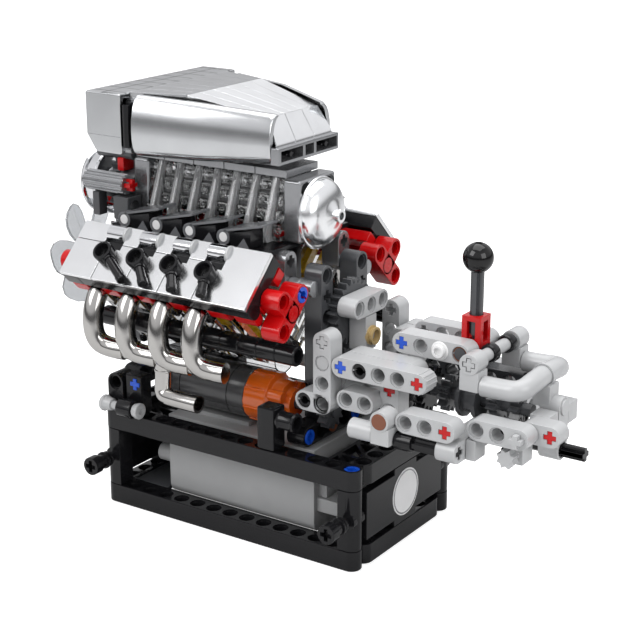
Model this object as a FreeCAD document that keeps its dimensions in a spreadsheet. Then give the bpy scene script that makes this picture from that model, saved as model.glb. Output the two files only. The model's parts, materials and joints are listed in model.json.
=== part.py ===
import FreeCAD, Part
import math
import os
from FreeCAD import Placement, Rotation, Vector

# Display model of a supercharged V8 engine on a stand, with an open gearbox behind it.
# It is built from pinned beams, axles, gears and panels on an 8 mm grid.
# X runs along the crankshaft towards the gearbox, the near side is -Y, and +Z is up.
# The origin is the middle of the stand's footprint, on the surface it stands on.

# Driving dimensions in millimetres, or degrees and counts where the note says so.
SIZES = (
    ("pitch", 8.0, "centre to centre of two neighbouring holes"),
    ("beam_wide", 7.8, "width and height of a beam"),
    ("hole_wide", 4.9, "bore of a beam's hole"),
    ("pin_wide", 4.8, "diameter of a pin and width across an axle"),
    ("axle_arm", 1.8, "thickness of one arm of a cross axle"),
    ("small_sides", 6.0, "sides that stand for a small round, a count"),
    ("large_sides", 12.0, "sides that stand for a shaft, a bearing or a large round, a count"),
    ("seat_gap", 0.1, "gap between two faces that are put together"),
    ("rim_wide", 3.9, "outer radius of a bush or connector"),
    ("base_long", 14.0, "hole steps along the stand, a count"),
    ("base_deep", 8.0, "hole steps across the stand, a count"),
    ("base_tall", 40.0, "height of the stand"),
    ("panel_thick", 3.9, "thickness of the stand's end panels"),
    ("notch_tall", 2.4, "height of the notches in an end panel"),
    ("knob_long", 7.6, "length of a corner knob"),
    ("knob_wide", 7.0, "diameter of a corner knob"),
    ("box_long", 70.0, "length of the battery box"),
    ("box_deep", 51.0, "depth of the battery box"),
    ("box_round", 8.0, "rounding of the battery box's long lower edges"),
    ("box_floor", 6.0, "height of the battery box's underside"),
    ("crank_high", 64.0, "height of the crankshaft's axis"),
    ("bank_tilt", 45.0, "lean of each cylinder bank in degrees"),
    ("cylinder_step", 16.0, "distance from one cylinder to the next"),
    ("first_cylinder", -52.0, "place of the first cylinder along X"),
    ("bore_wide", 10.0, "bore of a cylinder"),
    ("piston_play", 0.05, "gap round a piston"),
    ("piston_tall", 12.0, "height of a piston's head"),
    ("piston_reach", 34.0, "crank axis to the underside of a piston's head at mid stroke"),
    ("rod_wide", 3.6, "diameter of a piston's rod"),
    ("throw", 2.0, "offset of a crank lobe from the crank axis, half the stroke"),
    ("lobe_wide", 8.0, "diameter of a crank lobe"),
    ("lobe_long", 5.0, "length of a crank lobe"),
    ("case_round", 7.4, "outer radius of the crankcase tube"),
    ("case_wall", 0.9, "wall of the crankcase tube"),
    ("block_wide", 15.8, "width of a cylinder bank"),
    ("block_reach", 50.0, "crank axis to the top of a cylinder bank"),
    ("rail_wide", 7.8, "diameter of the rail below each bank"),
    ("cover_first", -64.0, "front end of the valve covers along X"),
    ("cover_long", 88.0, "length of a valve cover"),
    ("cover_wide", 24.0, "width of a valve cover"),
    ("strip_room", 5.0, "room for the red strips between a cylinder bank and its valve cover"),
    ("tile_thick", 3.2, "thickness of the cover's top tiles"),
    ("cover_thick", 4.8, "thickness of the cover's lower plate"),
    ("barrel_wide", 7.6, "diameter of the barrels on a valve cover"),
    ("pipe_wide", 8.0, "diameter of an exhaust pipe"),
    ("collector_wide", 6.8, "diameter of the pipe that collects the exhaust"),
    ("motor_wide", 20.6, "diameter of the motor"),
    ("motor_long", 36.0, "length of the motor's dark body"),
    ("nose_long", 19.0, "length of the motor's orange gear head"),
    ("blower_wide", 27.0, "width of the supercharger over its ribs"),
    ("blower_tall", 23.8, "height of the supercharger's clear case"),
    ("blower_long", 63.8, "length of the supercharger's clear case"),
    ("blower_ribs", 7.0, "ribs along the supercharger, a count"),
    ("blower_high", 124.0, "height of the supercharger's shaft"),
    ("dome_wide", 24.0, "diameter of the polished dome"),
    ("dome_deep", 5.5, "depth of the polished dome"),
    ("dome_wall", 1.2, "wall of the polished dome"),
    ("pulley_wide", 28.0, "diameter of the front pulley"),
    ("fan_wide", 45.0, "diameter of the fan over its blades"),
    ("fan_blades", 6.0, "blades of the fan, a count"),
    ("blade_thick", 1.6, "thickness of a fan blade"),
    ("fan_high", 92.0, "height of the fan's axle"),
    ("gear_thick", 3.8, "width of a gear"),
    ("mesh_play", 0.25, "play between meshing teeth"),
    ("scoop_rear", -62.0, "rear end of the air scoop along X"),
    ("scoop_half", 36.0, "half the width of the scoop at its rear"),
    ("scoop_front_half", 20.0, "half the width of the scoop at its inlet"),
    ("scoop_low", 144.5, "height of the scoop's underside"),
    ("scoop_tall", 23.0, "height of the scoop at its rear"),
    ("scoop_front", 14.0, "place of the scoop's inlet along X"),
    ("scoop_wall", 2.4, "wall of the scoop's panels"),
    ("lever_behind", 48.0, "front upright of the gearbox to the gear lever"),
    ("lever_high", 84.0, "height of the gear lever's pivot"),
    ("lever_long", 33.0, "pivot to the middle of the lever's ball"),
    ("ball_wide", 11.2, "diameter of the lever's ball"),
    ("output_high", 52.0, "height of the output axle"),
    ("output_reach", 13.0, "end beam of the gearbox to the free end of the output axle"),
    ("selector_wide", 15.0, "diameter of the sliding selector ring"),
    ("guide_wide", 7.0, "diameter of the rings on the guide axle"),
    ("hose_wide", 7.6, "diameter of the gearbox's bent tubes"),
)

DOC = FreeCAD.newDocument("EngineModel")
SHEET = DOC.addObject("Spreadsheet::Sheet", "Sizes")
for line, (alias, value, note) in enumerate(SIZES, start=1):
    SHEET.set("A%d" % line, str(value))
    SHEET.set("B%d" % line, note)
    SHEET.setAlias("A%d" % line, alias)
DOC.recompute()

PITCH = float(SHEET.pitch)
BEAM = float(SHEET.beam_wide)
HALF = BEAM / 2.0
BORE = float(SHEET.hole_wide) / 2.0
PIN = float(SHEET.pin_wide) / 2.0
ARM = float(SHEET.axle_arm)
GAP = float(SHEET.seat_gap)
SIDES = int(SHEET.small_sides)
LARGE_SIDES = int(SHEET.large_sides)
RIM = float(SHEET.rim_wide)

X = Vector(1, 0, 0)
Y = Vector(0, 1, 0)
Z = Vector(0, 0, 1)
NEAR, FAR = -1, 1


def size(alias):
    """Return one driving dimension as a number."""
    return float(getattr(SHEET, alias))


def seat(origin, along, normal):
    """Return the placement whose local X is along and whose local Z is normal."""
    side = normal.cross(along)
    return Placement(origin, Rotation(along, side, normal, "XZY"))


def joined(shapes):
    """Fuse touching shapes into one clean solid."""
    shapes = list(shapes)
    first = shapes[0]
    if len(shapes) > 1:
        first = first.fuse(shapes[1:])
    return first.removeSplitter()


def group(shapes):
    """Keep separate solids together as one shape."""
    solids = [solid for shape in shapes for solid in shape.Solids]
    return Part.makeCompound(solids)


def mirrored(shape):
    """Return the same shape on the other side of the engine."""
    return shape.mirror(Vector(0, 0, 0), Y)


def block(low, high):
    """Return the box between two corners."""
    return Part.makeBox(high.x - low.x, high.y - low.y, high.z - low.z, low)


def polygon(points):
    """Return a flat face through the points."""
    return Part.Face(Part.makePolygon(list(points) + [points[0]]))


def ring_points(radius, first=0.0, last=360.0, sides=SIDES):
    """Return points round the Z axis, as many to a full turn as there are sides."""
    count = max(2, int(round(sides * (last - first) / 360.0)))
    step = math.radians(last - first) / count
    angles = [math.radians(first) + step * k for k in range(count + 1)]
    return [Vector(radius * math.cos(angle), radius * math.sin(angle), 0) for angle in angles]


def round_bar(start, end, radius, sides):
    """Return a bar from start to end whose corners lie on the radius."""
    run = end.sub(start)
    bar = polygon(ring_points(radius, sides=sides)[:-1]).extrude(Z * run.Length)
    across = Z if abs(run.z) < 0.7 * run.Length else X
    along = run.normalize()
    bar.Placement = seat(start, across.sub(along * across.dot(along)).normalize(), along)
    return bar


def turned(start, end, radius):
    """Return a shaft or a large round bar, which stays inside its true circle."""
    return round_bar(start, end, radius, LARGE_SIDES)


def bored(start, end, radius):
    """Return the cutter of a bearing or a large bore, which stays outside its true circle."""
    return round_bar(start, end, radius / math.cos(math.pi / LARGE_SIDES), LARGE_SIDES)


def drill(start, end, radius):
    """Return the cutter of a small hole, which stays outside its true circle."""
    return round_bar(start, end, radius / math.cos(math.pi / SIDES), SIDES)


def rod(start, end, radius):
    """Return a small round bar, which stays inside its true circle."""
    return round_bar(start, end, radius, SIDES)


def tube(start, end, outer, inner):
    """Return a small round tube from start to end."""
    run = end.sub(start)
    return rod(start, end, outer).cut(drill(start.sub(run), end.add(run), inner))


def cross_axle(start, end):
    """Return an axle with a cross-shaped section from start to end."""
    run = end.sub(start)
    reach = PIN - GAP / 2.0
    arm = ARM / 2.0
    corners = []
    for quarter in range(4):
        turn = Rotation(Z, 90.0 * quarter)
        for x, y in ((reach, -arm), (reach, arm), (arm, arm)):
            corners.append(turn.multVec(Vector(x, y, 0)))
    bar = polygon(corners).extrude(Z * run.Length)
    across = Z if abs(run.z) < run.Length / 2.0 else X
    bar.Placement = seat(start, across, run.normalize())
    return bar


def beam(first, last, bore, skip=(), bearings=()):
    """Return a round-ended beam from hole to hole, with bores along one axis.

    first and last are the centres of the end holes. skip lists holes that stay shut, and
    bearings lists holes that a shaft turns in, which have more sides.
    """
    run = last.sub(first)
    steps = int(round(run.Length / PITCH))
    length = steps * PITCH
    outline = ring_points(HALF, 90.0, 270.0)
    outline += [point.add(X * length) for point in ring_points(HALF, -90.0, 90.0)]
    bar = polygon(outline).extrude(Z * BEAM)
    holes = []
    for k in range(steps + 1):
        if k not in skip:
            cutter = bored if k in bearings else drill
            holes.append(cutter(Vector(k * PITCH, 0, -1), Vector(k * PITCH, 0, BEAM + 1), BORE))
    if holes:
        bar = bar.cut(holes)
    bar.translate(Z * -HALF)
    bar.Placement = seat(first, run.normalize(), bore).multiply(bar.Placement)
    return bar


def bent_tube(points, radius, bend, steps=2):
    """Return a bar along straight runs joined by arcs, each arc in a few short steps."""
    stations = [points[0]]
    for before, corner, after in zip(points, points[1:], points[2:]):
        inward = before.sub(corner).normalize()
        onward = after.sub(corner).normalize()
        half_turn = (math.pi - inward.getAngle(onward)) / 2.0
        shortest = min(before.sub(corner).Length, after.sub(corner).Length)
        back = min(bend * math.tan(half_turn), 0.48 * shortest)
        arc_radius = back / math.tan(half_turn)
        middle = corner.add(inward.add(onward).normalize() * (arc_radius / math.cos(half_turn)))
        enter = corner.add(inward * back).sub(middle)
        normal = inward.cross(onward).normalize()
        for k in range(steps + 1):
            turn = Rotation(normal, -math.degrees(2.0 * half_turn) * k / steps)
            stations.append(middle.add(turn.multVec(enter)))
    stations.append(points[-1])
    wires = []
    across = Z.cross(stations[1].sub(stations[0])).normalize()
    for k, place in enumerate(stations):
        before = stations[max(k - 1, 0)]
        after = stations[min(k + 1, len(stations) - 1)]
        ahead = after.sub(place).normalize() if k == 0 else place.sub(before).normalize()
        if 0 < k < len(stations) - 1:
            ahead = ahead.add(after.sub(place).normalize()).normalize()
        across = across.sub(ahead * across.dot(ahead)).normalize()
        placement = seat(place, across, ahead)
        ring = [placement.multVec(point) for point in ring_points(radius)]
        wires.append(Part.makePolygon(ring[:-1] + [ring[0]]))
    return Part.makeLoft(wires, True, True)


def gear(place, teeth, phase=0.0, bore=None):
    """Return a spur gear of module 1 that turns about X, one tooth at the phase angle."""
    play = size("mesh_play")
    tip = teeth / 2.0 + 0.8
    root = teeth / 2.0 - 1.2
    step = 2.0 * math.pi / teeth
    tip_half = (0.35 - play / 4.0) / tip
    root_half = (1.1 - play / 2.0) / root
    corners = []
    for tooth in range(teeth):
        middle = phase + tooth * step
        for radius, angle in ((root, -root_half), (tip, -tip_half), (tip, tip_half), (root, root_half)):
            corners.append(Vector(0, radius * math.cos(middle + angle), radius * math.sin(middle + angle)))
    thick = size("gear_thick")
    wheel = polygon(corners).extrude(X * thick)
    wheel = wheel.cut(drill(X * -1, X * (thick + 1), bore or BORE))
    wheel.translate(place.sub(X * (thick / 2.0)))
    return wheel


def mesh_phase(first, second, teeth_first, phase_first, teeth_second):
    """Return the phase at which the second gear's gap meets the first gear's tooth."""
    direction = math.atan2(second.z - first.z, second.y - first.y)
    share = (direction - phase_first) / (2.0 * math.pi / teeth_first)
    return direction + math.pi - (0.5 - share) * 2.0 * math.pi / teeth_second


def add_solid(label, shape):
    """Store a shape as one named sub-part."""
    part = DOC.addObject("Part::Feature", label)
    part.Label = label
    part.Shape = shape
    return part


def add_mirror(label, source):
    """Store the mirror image of a sub-part on the far side."""
    part = DOC.addObject("Part::Mirroring", label)
    part.Label = label
    part.Source = source
    part.Base = Vector(0, 0, 0)
    part.Normal = Y
    return part


def origin_plane(body, role):
    """Return one of a body's own origin planes."""
    return next(item for item in body.Origin.OriginFeatures if item.Role == role)


def sketch_loop(body, role, points):
    """Draw a closed outline on one of a body's origin planes."""
    sketch = body.newObject("Sketcher::SketchObject", body.Label + "_sketch")
    sketch.AttachmentSupport = [(origin_plane(body, role), "")]
    sketch.MapMode = "FlatFace"
    corners = [Vector(x, y, 0) for x, y in points]
    for start, end in zip(corners, corners[1:] + corners[:1]):
        sketch.addGeometry(Part.LineSegment(start, end), False)
    return sketch


def revolved_body(label, points):
    """Return a body that turns an outline, drawn in X and radius, about the X axis."""
    body = DOC.addObject("PartDesign::Body", label)
    body.Label = label
    sketch = sketch_loop(body, "XZ_Plane", points)
    turn = body.newObject("PartDesign::Revolution", label + "_turn")
    turn.Profile = sketch
    turn.ReferenceAxis = (sketch, ["H_Axis"])
    turn.Angle = 360.0
    DOC.recompute()
    return body


# The stand: two frames of beams, corner posts, end panels and the battery box.

BASE_X = size("base_long") / 2.0
BASE_Y = size("base_deep") / 2.0
BASE_TOP = size("base_tall")
LOW_ROW = HALF + GAP
HIGH_ROW = BASE_TOP - HALF - GAP


def base_frame(level, drilled):
    """Return the four beams of one level of the stand, drilled where the holes show."""
    bars = []
    for side in (NEAR, FAR):
        skip = () if side == NEAR and drilled else range(int(size("base_long")) + 1)
        start = Vector(-BASE_X * PITCH, side * BASE_Y * PITCH, level)
        bars.append(beam(start, start.add(X * (2 * BASE_X * PITCH)), Z, skip))
    for end in (-1, 1):
        start = Vector(end * BASE_X * PITCH, -(BASE_Y - 1) * PITCH, level)
        skip = () if drilled else range(int(size("base_deep")))
        bars.append(beam(start, start.add(Y * (2 * (BASE_Y - 1) * PITCH)), Z, skip))
    return group(bars)


def corner_posts():
    """Return the four posts between the two levels, each bored for its knob's axle."""
    posts = []
    low = LOW_ROW + HALF + GAP
    high = HIGH_ROW - HALF - GAP
    for end in (-1, 1):
        for side in (NEAR, FAR):
            foot = Vector(end * BASE_X * PITCH, side * BASE_Y * PITCH, low)
            post = rod(foot, Vector(foot.x, foot.y, high), HALF)
            inner = foot.x - end * HALF
            web = block(Vector(min(foot.x, inner), foot.y - HALF, low),
                        Vector(max(foot.x, inner), foot.y + HALF, high))
            middle = Vector(foot.x, foot.y, BASE_TOP / 2.0)
            hole = drill(middle.sub(Y * PITCH), middle.add(Y * PITCH), BORE)
            posts.append(joined([post, web]).cut(hole))
    return group(posts)


def end_panels():
    """Return the flat panels that close both ends of the stand."""
    low = LOW_ROW + HALF + GAP
    high = HIGH_ROW - HALF - GAP
    outer = BASE_X * PITCH + HALF
    inner = outer - size("panel_thick")
    reach = (BASE_Y - 1) * PITCH + HALF - GAP
    notch = size("notch_tall")
    panels = []
    for end in (-1, 1):
        xs = sorted((end * inner, end * outer))
        panel = block(Vector(xs[0], -reach, low), Vector(xs[1], reach, high))
        cuts = []
        for side in (NEAR, FAR):
            ys = sorted((side * PITCH, side * (reach + 1)))
            for z in (low - 1, high - notch):
                cuts.append(block(Vector(xs[0] - 1, ys[0], z), Vector(xs[1] + 1, ys[1], z + notch + 1)))
        rib_inner = end * (BASE_X * PITCH - HALF)
        rib_xs = sorted((end * inner, rib_inner))
        rib = block(Vector(rib_xs[0], -PITCH, low), Vector(rib_xs[1], PITCH, high))
        panels.append(joined([panel.cut(cuts), rib]))
    return group(panels)


def battery_box():
    """Return the battery box with rounded lower edges, a ledge and its cable boss."""
    half_long = size("box_long") / 2.0
    half_deep = size("box_deep") / 2.0
    low = size("box_floor")
    top = BASE_TOP
    seat_top = MOTOR_Z - size("motor_wide") / 2.0 - GAP
    shell = block(Vector(-half_long, -half_deep, low), Vector(half_long, half_deep, top))
    edges = [edge for edge in shell.Edges if abs(edge.CenterOfMass.z - low) < 0.01
             and abs(abs(edge.CenterOfMass.y) - half_deep) < 0.01]
    shell = shell.makeFillet(size("box_round"), edges)
    ledge_high = low + size("box_round")
    ledge = block(Vector(half_long, -half_deep + 2.0, ledge_high),
                  Vector(BASE_X * PITCH - HALF - 2.0, half_deep - 2.0, ledge_high + 6.0))
    boss = rod(Vector(-half_long - PITCH, -half_deep + 6.0, BASE_TOP / 2.0),
               Vector(-half_long + 1, -half_deep + 6.0, BASE_TOP / 2.0), RIM)
    cradle = block(Vector(MOTOR_X, MOTOR_Y - 6.0, top - 1.0),
                   Vector(MOTOR_X + size("motor_long"), MOTOR_Y + 6.0, seat_top))
    return joined([shell, ledge, boss, cradle])


def top_grille():
    """Return the webbed frame that fills the top of the stand beside the battery box."""
    low = HIGH_ROW - HALF
    left = size("box_long") / 2.0 + 2.0
    right = BASE_X * PITCH - HALF - 2 * GAP
    reach = (BASE_Y - 1) * PITCH + HALF - 2 * GAP
    plates = []
    for mirror in (1, -1):
        xs = sorted((mirror * left, mirror * right))
        plate = block(Vector(xs[0], -reach, low), Vector(xs[1], reach, low + 3.0))
        windows = []
        count = 4
        step = 2.0 * (reach - 2.0) / count
        for row in range(count):
            start = -reach + 2.0 + row * step
            for wedge in ((0.8, 0.8, 0.8, step - 2.0, right - left - 3.4, 0.8),
                          (right - left - 1.6, step - 0.8, 1.8, step - 0.8, right - left - 1.6, 2.0)):
                xs_w = [xs[0] + 0.8 + wedge[k] for k in (0, 2, 4)]
                ys_w = [start + wedge[k] for k in (1, 3, 5)]
                face = polygon([Vector(x, y, low - 1) for x, y in zip(xs_w, ys_w)])
                windows.append(face.extrude(Z * 5.0))
        plates.append(plate.cut(windows))
    return group(plates)


def corner_knobs():
    """Return the four knobs on their axles through the corner posts."""
    knobs = []
    for end in (-1, 1):
        for side in (NEAR, FAR):
            post = Vector(end * BASE_X * PITCH, side * BASE_Y * PITCH, BASE_TOP / 2.0)
            face = post.add(Y * (side * (HALF + GAP)))
            tip = face.add(Y * (side * size("knob_long")))
            collar = face.add(Y * (side * 2.0))
            inner = post.sub(Y * (side * HALF))
            knobs.append(joined([rod(face, collar, size("knob_wide") / 2.0), rod(collar, tip, PIN + 0.9),
                                 rod(tip.sub(Y * (side * 2.0)), tip, size("knob_wide") / 2.0),
                                 rod(inner, face, PIN)]))
    return group(knobs)


def stand_pins():
    """Return the pins that stand in the near corner holes."""
    reach = Z * (HALF - 0.5)
    places = [Vector(end * BASE_X * PITCH, -BASE_Y * PITCH, HIGH_ROW) for end in (-1, 1)]
    return group([rod(place.sub(reach), place.add(reach), PIN) for place in places])


# The motor lies on the battery box, beside and below the crankcase.

CRANK = Vector(0, 0, size("crank_high"))
CRANK_TEETH = 24
MOTOR_TEETH = 12
MOTOR_Y = -13.0
MOTOR_Z = CRANK.z - math.sqrt(((CRANK_TEETH + MOTOR_TEETH) / 2.0) ** 2 - MOTOR_Y ** 2)
COVER_LAST = size("cover_first") + size("cover_long")
COVER_TOP = size("block_reach") + size("strip_room") + size("cover_thick") + size("tile_thick")
MOTOR_X = COVER_LAST - 5.0 - size("nose_long") - size("motor_long")
REAR_GEAR_X = COVER_LAST + 10.0
REAR_Y = 12.0
PULLEY_X = -87.0
FRONT_GEAR_X = -72.0


def motor_case():
    """Return the motor's dark body, flat above and below."""
    radius = size("motor_wide") / 2.0
    start = Vector(MOTOR_X, MOTOR_Y, MOTOR_Z)
    end = start.add(X * size("motor_long"))
    can = turned(start, end, radius)
    cap = turned(start.sub(X * 3.0), start, radius - 4.0)
    return joined([can, cap])


def motor_nose():
    """Return the orange gear head with its stepped, faceted front."""
    radius = size("motor_wide") / 2.0
    start = Vector(MOTOR_X + size("motor_long"), MOTOR_Y, MOTOR_Z)
    long = size("nose_long")
    first = start.add(X * (0.55 * long))
    second = start.add(X * (0.85 * long))
    end = start.add(X * long)
    parts = [turned(start, first, radius), turned(first, second, radius - 2.2),
             turned(second, end, radius - 4.5)]
    for turn in range(3):
        angle = math.radians(30.0 + 120.0 * turn)
        lug = Vector(0, math.cos(angle), math.sin(angle)) * (radius - 3.0)
        parts.append(rod(first.add(lug), second.add(lug).add(X * 1.0), 2.4))
    bore = bored(start.add(X * (0.3 * long)), end.add(X), BORE)
    return joined(parts).cut(bore)


def motor_shaft():
    """Return the motor's output axle with its gear."""
    start = Vector(MOTOR_X + size("motor_long") + 0.35 * size("nose_long"), MOTOR_Y, MOTOR_Z)
    end = Vector(REAR_GEAR_X + 3.0, MOTOR_Y, MOTOR_Z)
    crank_place = CRANK.add(X * REAR_GEAR_X)
    place = Vector(REAR_GEAR_X, MOTOR_Y, MOTOR_Z)
    phase = mesh_phase(crank_place, place, CRANK_TEETH, 0.0, MOTOR_TEETH)
    wheel = gear(place, MOTOR_TEETH, phase, PIN - 0.4)
    return joined([turned(start, end, PIN), wheel])


# The block: crankcase, two banks, crankshaft and pistons. A bank is drawn upright and tilted.

CYLINDERS = [size("first_cylinder") + k * size("cylinder_step") for k in range(4)]
BLOCK_FIRST = CYLINDERS[0] - size("cylinder_step") / 2.0
BLOCK_LAST = CYLINDERS[-1] + size("cylinder_step") / 2.0


def bank(shape):
    """Tilt a shape that was drawn upright over the crank axis onto the near bank."""
    shape = shape.copy()
    shape.Placement = Placement(CRANK, Rotation(X, size("bank_tilt"))).multiply(shape.Placement)
    return shape


def on_bank(x, w, v):
    """Return a place of the near bank from its upright coordinates."""
    return Placement(CRANK, Rotation(X, size("bank_tilt"))).multVec(Vector(x, w, v))


def crankcase():
    """Return the clear tube round the crankshaft with a window under every cylinder."""
    radius = size("case_round")
    start = Vector(BLOCK_FIRST, 0, CRANK.z)
    end = Vector(BLOCK_LAST, 0, CRANK.z)
    run = end.sub(start)
    inner = bored(start.sub(run), end.add(run), radius - size("case_wall"))
    shell = turned(start, end, radius).cut(inner)
    windows = []
    window = size("rod_wide") / 2.0 + 0.6
    for x in CYLINDERS:
        up = drill(Vector(x, 0, 0), Vector(x, 0, radius + 1), window)
        windows.append(bank(up))
        windows.append(mirrored(bank(up)))
    return shell.cut(windows)


def cylinder_bank():
    """Return the clear near bank with its four bores."""
    half = size("block_wide") / 2.0
    low = half + 2.0 * GAP
    high = size("block_reach")
    solid = block(Vector(BLOCK_FIRST, -half, low), Vector(BLOCK_LAST, half, high))
    floor = low + 6.0
    bores = []
    for x in CYLINDERS:
        bores.append(bored(Vector(x, 0, floor), Vector(x, 0, high + 1), size("bore_wide") / 2.0))
        bores.append(drill(Vector(x, 0, low - 1), Vector(x, 0, floor + 1), size("rod_wide") / 2.0 + 0.6))
    grooves = []
    for x in CYLINDERS[:-1]:
        middle = x + size("cylinder_step") / 2.0
        for side in (-1, 1):
            ys = sorted((side * (half - 2.0), side * (half + 1)))
            groove_low = Vector(middle - 1.0, ys[0], low + 4.0)
            grooves.append(block(groove_low, Vector(middle + 1.0, ys[1], high + 1)))
    return bank(solid.cut(bores + grooves))


def piston(x):
    """Return one yellow piston with its follower rod, at mid stroke on the near bank."""
    radius = size("bore_wide") / 2.0 - size("piston_play")
    under = size("piston_reach")
    top = under + size("piston_tall")
    head = turned(Vector(x, 0, under), Vector(x, 0, top), radius)
    dish = rod(Vector(x, 0, top - 1.6), Vector(x, 0, top + 1), radius - 1.4)
    foot = size("lobe_wide") / 2.0 + 2.0 * size("throw") + 0.6
    follower = rod(Vector(x, 0, foot), Vector(x, 0, under), size("rod_wide") / 2.0)
    return bank(joined([head.cut(dish), follower]))


def crankshaft():
    """Return the crankshaft: an axle with eight offset lobes, two to each throw."""
    axle = turned(Vector(FRONT_GEAR_X - 4.0, 0, CRANK.z), Vector(REAR_GEAR_X + 4.0, 0, CRANK.z), PIN)
    lobes = []
    throw = size("throw")
    turns = (0.0, 180.0, 180.0, 0.0)
    for x, turn in zip(CYLINDERS, turns):
        offset = Rotation(X, turn).multVec(Vector(0, throw, 0))
        centre = Vector(x - size("lobe_long") / 2.0, 0, CRANK.z).add(offset)
        lobes.append(turned(centre, centre.add(X * size("lobe_long")), size("lobe_wide") / 2.0))
    return joined([axle] + lobes)


def crank_gears():
    """Return the gears on the crankshaft's front and rear ends."""
    rear = gear(CRANK.add(X * REAR_GEAR_X), 24, 0.0, PIN + 0.02)
    front = gear(CRANK.add(X * FRONT_GEAR_X), 16, 0.0, PIN + 0.02)
    return group([rear, front])


def side_rail():
    """Return the rail along the underside of the near bank."""
    radius = size("rail_wide") / 2.0
    w = -(size("block_wide") / 2.0 + radius + GAP * 4)
    low = on_bank(BLOCK_FIRST, w, 32.0)
    high = on_bank(COVER_LAST + PITCH, w, 32.0)
    return tube(low, high, radius, BORE)


def head_brackets(turn):
    """Return the red brackets that carry a valve cover, turned over for the far side."""
    parts = []
    for x in (size("cover_first") - PITCH / 2.0, COVER_LAST + PITCH / 2.0):
        level = size("block_reach") - 4.0
        across = beam(Vector(x, -1.25 * PITCH * turn, level), Vector(x, 0.75 * PITCH * turn, level), X)
        post = beam(Vector(x, -0.25 * PITCH * turn, level), Vector(x, -0.25 * PITCH * turn, level + PITCH), X)
        parts.append(bank(joined([across, post])))
    strip_low = size("block_reach") + GAP
    strip_high = COVER_TOP - size("tile_thick") - size("cover_thick") - GAP
    for low_w, high_w in ((-6.9, -1.0), (5.0, 11.0)):
        strip = block(Vector(size("cover_first"), low_w, strip_low), Vector(COVER_LAST, high_w, strip_high))
        parts.append(bank(strip))
    return group(parts)


def cover_frame():
    """Return the black lower plate of the near valve cover."""
    half = size("cover_wide") / 2.0
    top = COVER_TOP - size("tile_thick") - GAP
    low = top - size("cover_thick") + GAP
    plate = block(Vector(size("cover_first"), -half, low), Vector(COVER_LAST, half, top))
    edges = [edge for edge in plate.Edges
             if edge.Length > size("cover_long") - 1 and abs(edge.CenterOfMass.z - low) < 0.01]
    return bank(plate.makeFillet(size("cover_thick") * 0.5, edges))


def cover_tiles():
    """Return the polished tiles and barrels on top of the near valve cover."""
    half = size("cover_wide") / 2.0
    top = COVER_TOP
    low = top - size("tile_thick")
    tiles = block(Vector(size("cover_first"), -half, low), Vector(COVER_LAST, half, top))
    radius = size("barrel_wide") / 2.0
    parts = []
    cuts = []
    for x in CYLINDERS:
        start = Vector(x + 2.0, half - radius, top - 0.8)
        end = start.add(X * (size("cylinder_step") * 0.55))
        below = block(Vector(x - 20, 0, low - 9), Vector(x + 30, half + 9, low))
        parts.append(rod(start, end, radius).cut(below))
        cuts.append(block(Vector(start.x - GAP, half - 2 * radius - GAP, low - 1),
                          Vector(end.x + GAP, half + 1, top + 1)))
    return group([bank(tiles.cut(cuts))] + [bank(part) for part in parts])


def ignition_taps(side):
    """Return the black ring-headed taps that lie on a valve cover."""
    taps = []
    top = COVER_TOP + GAP
    for x, lean in zip(CYLINDERS, (13.9, 8.0, 5.2, 2.6)):
        ring_low = Vector(x + 6.5, -1.5, top)
        ring = rod(ring_low, ring_low.add(Z * 4.4), 4.0)
        stem = rod(ring_low.add(Z * 1.9), Vector(ring_low.x + lean, -11.0, top + 1.9), 1.8)
        hole = drill(ring_low.sub(Z), ring_low.add(Z * 6.0), 2.4)
        taps.append(bank(joined([ring, stem]).cut(hole)))
    return [mirrored(tap) for tap in taps] if side == FAR else taps


def exhaust():
    """Return the near bank's four header pipes, their collector and the tail elbow."""
    radius = size("pipe_wide") / 2.0
    thin = size("collector_wide") / 2.0
    run_y = -45.0
    run_z = 71.0
    first = CYLINDERS[0] + 8.0
    last = CYLINDERS[-1] + 10.0
    collector = rod(Vector(first, run_y, run_z), Vector(last, run_y, run_z), thin)
    tail_x = CYLINDERS[2]
    tail = bent_tube([Vector(tail_x, run_y, run_z), Vector(tail_x, run_y - 1.0, 57.0),
                      Vector(tail_x + 18.0, run_y - 2.0, 57.0)], thin, 9.0)
    manifold = joined([collector, tail])
    pipes = []
    for x in CYLINDERS:
        start = on_bank(x, -11.3, size("block_reach") + 1.0)
        route = [start, Vector(x, -46.0, 89.0), Vector(x + 0.5, -48.5, 80.0),
                 Vector(x + 4.0, -47.0, 73.5), Vector(x + 10.0, run_y, run_z)]
        wall = -size("block_wide") / 2.0 - GAP
        port = bank(block(Vector(x - 3.0, -11.5, 43.0), Vector(x + 3.0, wall, 50.0)))
        pipes.append(joined([bent_tube(route, radius, 8.0), port]).cut(manifold))
    return group(pipes + [manifold])


# The valley between the banks and the supercharger above it.

def intake_manifold():
    """Return the dark block in the valley with the flange that carries the blower."""
    core = block(Vector(BLOCK_FIRST, -12.0, 88.0), Vector(BLOCK_LAST, 12.0, FLANGE_LOW))
    flange = block(Vector(BLOCK_FIRST, -27.0, FLANGE_LOW), Vector(COVER_LAST - PITCH, 27.0, BLOWER_LOW - GAP))
    return joined([core, flange])


BLOWER_MIDDLE = size("blower_high") + 2.0
BLOWER_LOW = BLOWER_MIDDLE - size("blower_tall") / 2.0
BLOWER_TOP = BLOWER_MIDDLE + size("blower_tall") / 2.0
BLOWER_FIRST = -52.0
FLANGE_LOW = 112.0
BLOWER_LAST = BLOWER_FIRST + size("blower_long")


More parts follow.
